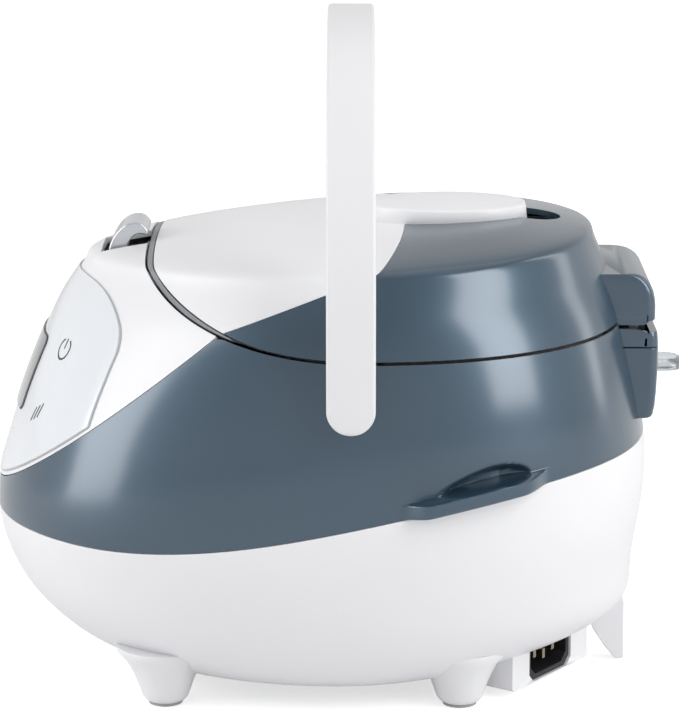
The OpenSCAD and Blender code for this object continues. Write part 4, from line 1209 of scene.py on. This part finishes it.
def tab_outline(shrink):
    """A tab with straight sides and two rounded corners at its tip."""
    tip_r, half, back = 7.5, 11.5 - shrink, tab_low[1] + 4.2
    x_mid, y_mid = half - tip_r + shrink, tab_high[1] - tip_r
    right = [(x_mid + (tip_r - shrink) * math.cos(w), y_mid + (tip_r - shrink) * math.sin(w))
             for w in np.linspace(0, np.pi / 2, 16)]
    return np.array([(half, back)] + right + [(-x, y) for x, y in reversed(right)] + [(-half, back)])


tab_heights = [tab_low[2], tab_low[2] + 0.5, tab_high[2] - 0.5, tab_high[2]]
tab_rings = stack_of([tab_outline(shrink) for shrink in (0.5, 0, 0, 0.5)], tab_heights)
capped("collector_tab", tab_rings, clear, "collector", replaces=["dew_collector"], slot="clear_plastic",
       angle=50)
tongue_plan = [(-9, 126.9), (9, 126.9), (9, 131.2), (-9, 131.2)]
tongue_rings = stack_of([tongue_plan, tongue_plan], (tab_low[2] + 0.1, tab_high[2] - 0.1))
capped("collector_tongue", tongue_rings, clear, "collector", slot="clear_plastic", bevel=0.3, angle=50)
print("collector made")

# %% [markdown]
# ## Springs and screws
#
# A spring is a wire along a helix. Geometry Nodes have a Spiral for the path and Curve to
# Mesh for the wire, so one tree with inputs for radius, height, turns and wire makes all of
# them. Screws repeat, so one turned head is set on every place by the same helper as the feet.

# %% Springs
spring_tree, entry, out, spring_inputs = geometry_tree("coil_spring", ["Radius", "Height", "Turns", "Wire"])
helix = spring_tree.nodes.new("GeometryNodeCurveSpiral")
round_wire = spring_tree.nodes.new("GeometryNodeCurvePrimitiveCircle")
sweep = spring_tree.nodes.new("GeometryNodeCurveToMesh")
real = spring_tree.nodes.new("GeometryNodeRealizeInstances")
paint = spring_tree.nodes.new("GeometryNodeSetMaterial")
dial(helix, {"Resolution": 24})
dial(round_wire, {"Resolution": 10})
dial(sweep, {"Fill Caps": True})
dial(paint, {"Material": steel})
cables(spring_tree, (entry, "Radius", helix, "Start Radius"), (entry, "Radius", helix, "End Radius"),
       (entry, "Height", helix, "Height"), (entry, "Turns", helix, "Rotations"),
       (entry, "Wire", round_wire, "Radius"), (helix, "Curve", sweep, "Curve"),
       (round_wire, "Curve", sweep, "Profile Curve"), (sweep, "Mesh", real, "Geometry"),
       (real, "Geometry", paint, "Geometry"), (paint, "Geometry", out, "Geometry"))


def spring(radius, height, turns, wire, move):
    """A coil made by the tree, moved to its place inside its mesh."""
    values = {"Radius": radius * MM, "Height": height * MM, "Turns": turns, "Wire": wire * MM}
    mesh = baked("coil", bpy.data.meshes.new("coil"), spring_tree, spring_inputs, values)
    mesh.transform(move)
    return mesh


def joined(name, meshes, look, body, **more):
    work = bmesh.new()
    for mesh in meshes:
        work.from_mesh(mesh)
    bmesh.ops.recalc_face_normals(work, faces=work.faces)
    result = bpy.data.meshes.new(name)
    work.to_mesh(result)
    work.free()
    return place(name, result, look, body, **more)


def shift(x, y, z):
    return Matrix.Translation(Vector((x, y, z)) * MM)


low, high = size_of("button_spring")
mid = (low + high) / 2
coil = spring(2.3, high[2] - low[2] - 0.6, 5, 0.28, shift(mid[0], mid[1], low[2] + 0.3))
lever_coil = joined("lever_spring", [coil], steel, "base", replaces=["button_spring"], slot="steel")
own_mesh(lever_coil)
low, high = size_of("sensor_spring")
mid = (low + high) / 2
coil = spring(8.9, high[2] - low[2] - 1.2, 4.5, 0.55, shift(mid[0], mid[1], low[2] + 0.6))
sensor_coil = joined("sensor_coil", [coil], steel, "base", replaces=["sensor_spring"], slot="steel")
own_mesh(sensor_coil)
hinge = next(j for j in frame["joints"] if j["name"] == "lid_hinge")["pos_m"]
on_side = Matrix.Rotation(math.pi / 2, 4, "Y")
coils = [spring(3.1, 8.0, 7, 0.45, shift(x, hinge[1] / MM, hinge[2] / MM) @ on_side) for x in (-10, 2)]
joined("hinge_coils", coils, steel, "base", replaces=["hinge_springs"], slot="steel")
print("springs for lever, sensor and hinge made")

# %% Screws
screw_z = size_of("base_screws")[0][2] + 1.6
screw_profile = [(0, -1.6), (1.1, -1.6), (1.1, -0.9), (1.5, -0.9), (1.5, -1.6), (2.6, -1.45), (3.1, -0.9),
                 (3.2, 0), (1.5, 0), (1.5, 1.9), (0, 1.9)]
screw_spots = [(x, y, screw_z) for x, y in ((38, -48), (-38, -48), (34, 30), (-34, 30))]
screw_heads = set_on_points("screws", turned("screw", screw_profile, 24), screw_spots, steel)
place("base_screw_heads", screw_heads, steel, "base", replaces=["base_screws"], slot="steel", angle=40)

# %% [markdown]
# ## Everything else keeps its CAD shape
#
# The pieces inside are turned, pressed or flat, and their CAD shape is already right. They
# only need finishes: each node's material slot is mapped to one of the finishes above.

# %% Finishes for the CAD nodes
BY_SLOT = {"white_plastic": white, "blue_paint": lacquer, "grey_plastic": frame_grey,
           "dark_plastic": black, "silver_plastic": silver, "panel_film": film,
           "display_window": screen, "steel": steel, "aluminised_sheet": steel,
           "cast_aluminium": aluminium, "pot_coating": coating, "heater_wrap": wrap,
           "circuit_board": board, "ceramic_body": ceramic, "brass_pins": brass, "rubber": rubber,
           "silicone": silicone, "clear_plastic": clear}
slot_of = {s["node"]: s["material_slot"] for s in record["subparts"]}
for name, node in frame["nodes"].items():
    node.data.materials.clear()
    node.data.materials.append(BY_SLOT[slot_of[name]])
print(len(frame["nodes"]), "CAD nodes given their finishes")
